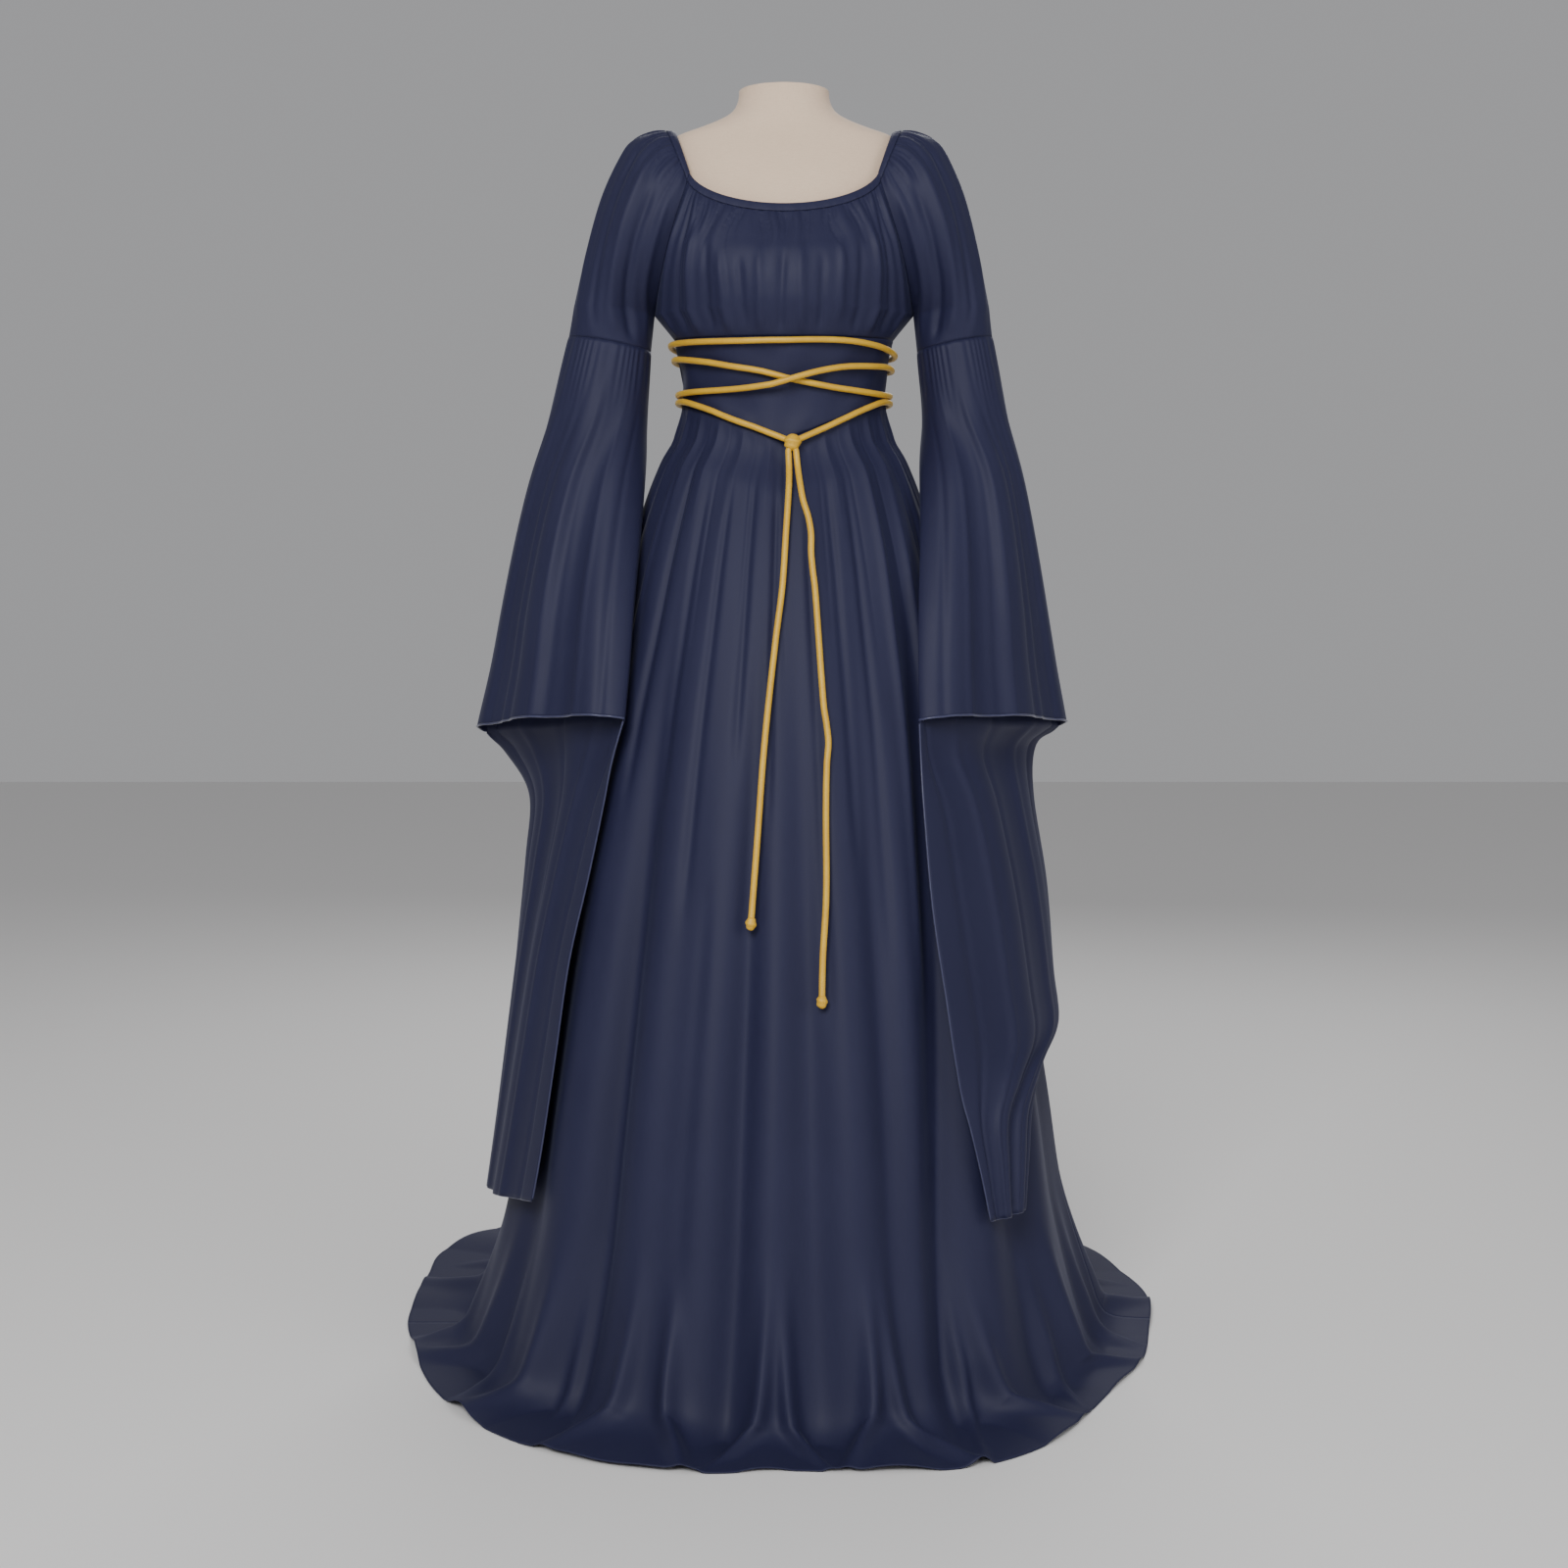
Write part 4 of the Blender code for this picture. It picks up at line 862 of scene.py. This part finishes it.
def make_casing(finish):
    spots = np.linspace(-1, 1, CASING_STEPS + 1)[:-1]
    rows = np.linspace(0, 1.08, 11)
    s, v = np.meshgrid(spots, rows)
    parts = [bodice_point(s, v, -1), upper_sleeve_point(1, s, v), bodice_point(-s, v, 1),
             upper_sleeve_point(-1, -s, v)]
    points = np.concatenate(parts, axis=1)
    points = np.concatenate([points, points[:, :1]], axis=1)
    place = np.arange(points.shape[1]) / CASING_STEPS * GATHERS
    down = (rows / rows[-1])[:, None]
    puckers = 0.6 * pleat(2 * place + 0.5, 0.4) * uneven(np.floor(2 * place), 0.2) + 0.4 * pleat(place, 0.4)
    relief = 0.0006 + 0.0012 * np.sqrt(np.sin(np.pi * np.minimum(down * 0.92 + 0.02, 1)))
    relief = relief + 0.0011 * down ** 2 * puckers[None, :]
    points = raise_relief(points, relief)
    points[:, -1] = points[:, 0]
    piece = cloth("neck_band", [points], finish)
    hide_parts("neck_casing")
    return piece


def make_waist(name, start, finish):
    angles = np.linspace(start, start + 180, 181)
    a, v = np.meshgrid(angles, np.linspace(0, 1, 31))
    points = waist_point(a, v)
    place = (a + 90) / 180 * GATHERS
    edge = bell(v, 0.12) + bell(1 - v, 0.12)
    relief = 0.0009 * edge * pleat(place * 1.0, 0.2) * ease(v / 0.03) * ease((1 - v) / 0.03)
    ripple = np.sin(a * 0.21 + v * 5.0) + np.sin(a * 0.13 - v * 7.0 + 1.0)
    relief = relief + 0.0008 * ripple * ease(v / 0.2) * ease((1 - v) / 0.2)
    piece = cloth("waist_" + name, [raise_relief(points, relief)], finish)
    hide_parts("waist_panel_" + name)
    return piece


def soften(points, stations, low, high, reach):
    """Rounds a net's rows between two stations, each by the mean of the rows round it."""
    share = ease((stations - low) / 0.08) * ease((high - stations) / 0.25)
    soft = points.copy()
    for turn in range(reach):
        middle = soft.copy()
        middle[1:-1] = (soft[:-2] + soft[1:-1] * 2 + soft[2:]) / 4
        soft = mix(soft, middle, share[:, None, None])
    return soft


def skirt_net():
    angles = np.linspace(-90, 270, SKIRT_STEPS + 1)
    stations = np.concatenate([np.linspace(0, 0.1, 17), np.linspace(0.1, 0.85, 41)[1:],
                               np.linspace(0.85, 1.15, 29)[1:], np.linspace(1.15, 2, 27)[1:]])
    a, v = np.meshgrid(angles, stations)
    points = soften(skirt_point(a, v), stations, 0.86, 1.75, 60)
    wide = np.concatenate([points[:, -4:-1], points, points[:, 1:4]], axis=1)
    relief = skirt_relief(a, v) - 0.002 * ease(v / 0.1) * ease((1 - v) / 0.2)
    relief = np.concatenate([relief[:, -4:-1], relief, relief[:, 1:4]], axis=1)
    return raise_relief(wide, relief, floor=True)[:, 3:-3]


def make_skirt(finish):
    points = skirt_net()
    half = points.shape[1] // 2
    pieces = {}
    for name, net in (("front", points[:, :half + 1]), ("back", points[:, half:])):
        piece = cloth("skirt_panel_" + name, [net], finish)
        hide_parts("skirt_" + name)
        pieces[name] = piece
    return pieces


def lower_sleeve_point(side, columns, swing, flat):
    height, rise, inner_x, inner_y, outer_x, outer_y, front_bulge, back_bulge = columns
    half_x, half_y = (outer_x - inner_x) / 2, (outer_y - inner_y) / 2
    reach = np.hypot(half_x, half_y)
    turn = np.radians(swing)
    along = mix(np.cos(turn), 1 - np.abs(swing) / 90, flat)
    rounding = SLEEVE_EDGE_ROUNDING * (1 - flat) * np.cos(turn) ** 2
    bulge = np.where(swing < 0, -front_bulge, -(back_bulge + rounding)) * np.sin(turn)
    x = (inner_x + outer_x) / 2 + half_x * along + half_y / reach * bulge
    y = (inner_y + outer_y) / 2 + half_y * along - half_x / reach * bulge
    return stack(side * x, y, height + rise * along)


def sleeve_relief(swing, grown):
    relief = 0
    for place, spread, size in SLEEVE_FOLDS + SLEEVE_CREASES:
        relief = relief + size * grown * bell(turn_between(swing, place), spread)
    return relief


def make_lower_sleeve(name, side, finish):
    sections, tail = LOWER_SLEEVE[name], SLEEVE_TAIL[name]
    numbered = [(i,) + row for i, row in enumerate(sections)]
    half = SLEEVE_STEPS // 2
    swing = np.linspace(-180, 180, SLEEVE_STEPS + 1)
    down = np.linspace(0, len(sections) - 1, 101)
    s, v = np.meshgrid(swing, down)
    points = lower_sleeve_point(side, read_table(numbered, v), s, 0.0)
    arch = ease(v - (len(sections) - 2))
    points[..., 2] += FRONT_HEM_ARCH * arch * np.maximum(-np.sin(np.radians(s)), 0)
    relief = sleeve_relief(s, ease(v / 3))
    puckers = pleat((s + 180) / 360 * 34 + 0.5 * np.sin(s * 0.1), 0.3) - 0.5
    relief = relief + 0.0014 * ease(v / 0.06) * (1 - ease((v - 0.15) / 0.9)) * puckers
    if side < 0:
        points, relief = points[:, ::-1], relief[:, ::-1]
    wide = np.concatenate([points[:, -4:-1], points, points[:, 1:4]], axis=1)
    high = np.concatenate([relief[:, -4:-1], relief, relief[:, 1:4]], axis=1)
    ring = raise_relief(wide, high)[:, 3:-3]
    ring[:, -1] = ring[:, 0]
    if side < 0:
        ring = ring[:, ::-1]

    last = sections[-1][:7] + (sections[-1][7], 0.0)
    rows = [row[:6] + (0.0,) + row[6:] for row in tail]
    numbered = [(i,) + row for i, row in enumerate([last] + rows)]
    swing = np.linspace(0, 180, half + 1)
    down = np.linspace(0, len(rows), 101)
    s, v = np.meshgrid(swing, down)
    *columns, flat = read_table(numbered, v)
    strip = lower_sleeve_point(side, columns, s, flat)
    relief = sleeve_relief(s, 1.0) * mix(1.0, ease(np.minimum(s, 180 - s) / 14), ease(v))
    strip = strip if side > 0 else strip[:, ::-1]
    relief = relief if side > 0 else relief[:, ::-1]
    strip = raise_relief(strip, relief)
    strip = strip if side > 0 else strip[:, ::-1]
    join = (ring[-1, half:] - strip[0])[None] * (1 - ease(v * 2.5))[..., None]
    strip = strip + join
    strip[0] = ring[-1, half:]
    nets = [ring, strip] if side > 0 else [ring[:, ::-1], strip[:, ::-1]]
    piece = cloth("lower_sleeve_" + name, nets, finish)
    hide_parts("sleeve_lower_" + name)
    front_hem = ring[-1, :half + 1]
    tail_edge = np.concatenate([strip[1:, 0], strip[-1, 1:], strip[-2:0:-1, -1]])
    return piece, front_hem, tail_edge


def hem_roll(name, line, radius, finish):
    """The rolled hem, a thin round edge."""
    points = [Vector(point) for point in line[::2]]
    return tube(name, points, radius, finish)


# Form and stand


def make_form(finish):
    """The form's smooth body, from a copy of its solid."""
    source = bpy.data.objects["dress_form"]
    piece = source.copy()
    piece.data = source.data.copy()
    piece.name = "padded_form"
    for key in [key for key in piece.keys() if key.startswith("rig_")]:
        del piece[key]
    bpy.context.scene.collection.objects.link(piece)
    bpy.ops.object.select_all(action="DESELECT")
    piece.select_set(True)
    bpy.context.view_layer.objects.active = piece
    bpy.ops.object.mode_set(mode="EDIT")
    bpy.ops.mesh.select_all(action="SELECT")
    bpy.ops.mesh.remove_doubles(threshold=1e-5)
    bpy.ops.mesh.tris_convert_to_quads()
    bpy.ops.mesh.select_all(action="DESELECT")
    bpy.ops.mesh.edges_select_sharp(sharpness=math.radians(50))
    bpy.ops.transform.edge_crease(value=0.9)
    bpy.ops.object.mode_set(mode="OBJECT")
    smooth = piece.modifiers.new("smooth", "SUBSURF")
    smooth.levels = smooth.render_levels = 2
    bpy.ops.object.modifier_apply(modifier="smooth")
    bpy.ops.object.shade_smooth()
    piece.data.materials.clear()
    piece.data.materials.append(finish)
    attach(piece, "root")
    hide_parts("dress_form")
    return piece


def set_stage():
    floor_finish = Finish("studio_floor", Roughness=0.7, Specular_IOR_Level=0.3)
    floor_finish.shader.inputs["Base Color"].default_value = (0.80, 0.79, 0.78, 1)
    bpy.ops.object.select_all(action="DESELECT")
    bpy.ops.mesh.primitive_plane_add(size=14, location=(0, 2, -0.0005))
    floor = bpy.context.object
    floor.name = "studio_floor"
    floor.data.materials.append(floor_finish.material)
    world = bpy.context.scene.world or bpy.data.worlds.new("studio")
    bpy.context.scene.world = world
    world.use_nodes = True
    background = world.node_tree.nodes["Background"]
    background.inputs["Color"].default_value = (0.80, 0.80, 0.82, 1)
    background.inputs["Strength"].default_value = 0.45
    for name, place, aim, size, power in (
            ("key", (-0.7, -3.4, 2.6), (0, 0, 0.8), 1.5, 120),
            ("fill", (2.2, -2.4, 1.6), (0, 0, 0.8), 1.8, 22),
            ("rim", (0.3, 2.4, 2.6), (0, 0, 1.0), 1.6, 35)):
        light = bpy.data.lights.new(name, "AREA")
        light.size = size
        light.energy = power
        lamp = bpy.data.objects.new(name, light)
        bpy.context.scene.collection.objects.link(lamp)
        lamp.location = place
        lamp.rotation_euler = (Vector(aim) - Vector(place)).to_track_quat("-Z", "Y").to_euler()


def main():
    set_camera()
    gold = make_gold_cord()
    make_cords(gold)
    navy = make_navy_cloth()
    hem = make_painted_highlight_hem()
    band = make_casing(navy)
    bodice_front = make_bodice(-1, "bodice_front_panel", "bodice_front", BODICE_FOLDS, navy)
    bodice_back = make_bodice(1, "bodice_back_panel", "bodice_back", BACK_FOLDS, navy)
    pieces = [band, bodice_front, bodice_back]
    for name, side in SIDES.items():
        upper = make_upper_sleeve(name, side, navy)
        lower, front_hem, tail_edge = make_lower_sleeve(name, side, navy)
        # The hem rolls take the lighter satin, whose colour paints the highlight along the sleeves' edges.
        roll = hem_roll("sleeve_hem_" + name, front_hem, 0.0013, hem)
        edge = hem_roll("tail_hem_" + name, tail_edge, 0.0010, hem)
        pieces += [upper, lower]
    for name, start in (("front", -90), ("back", 90)):
        waist = make_waist(name, start, navy)
        pieces.append(waist)
    skirt = make_skirt(navy)
    pieces += list(skirt.values())
    make_form(make_linen())
    black = make_black_metal()
    for node in ("stand_pole", "stand_foot"):
        bpy.data.objects[node].material_slots[0].material = black
    set_stage()


main()
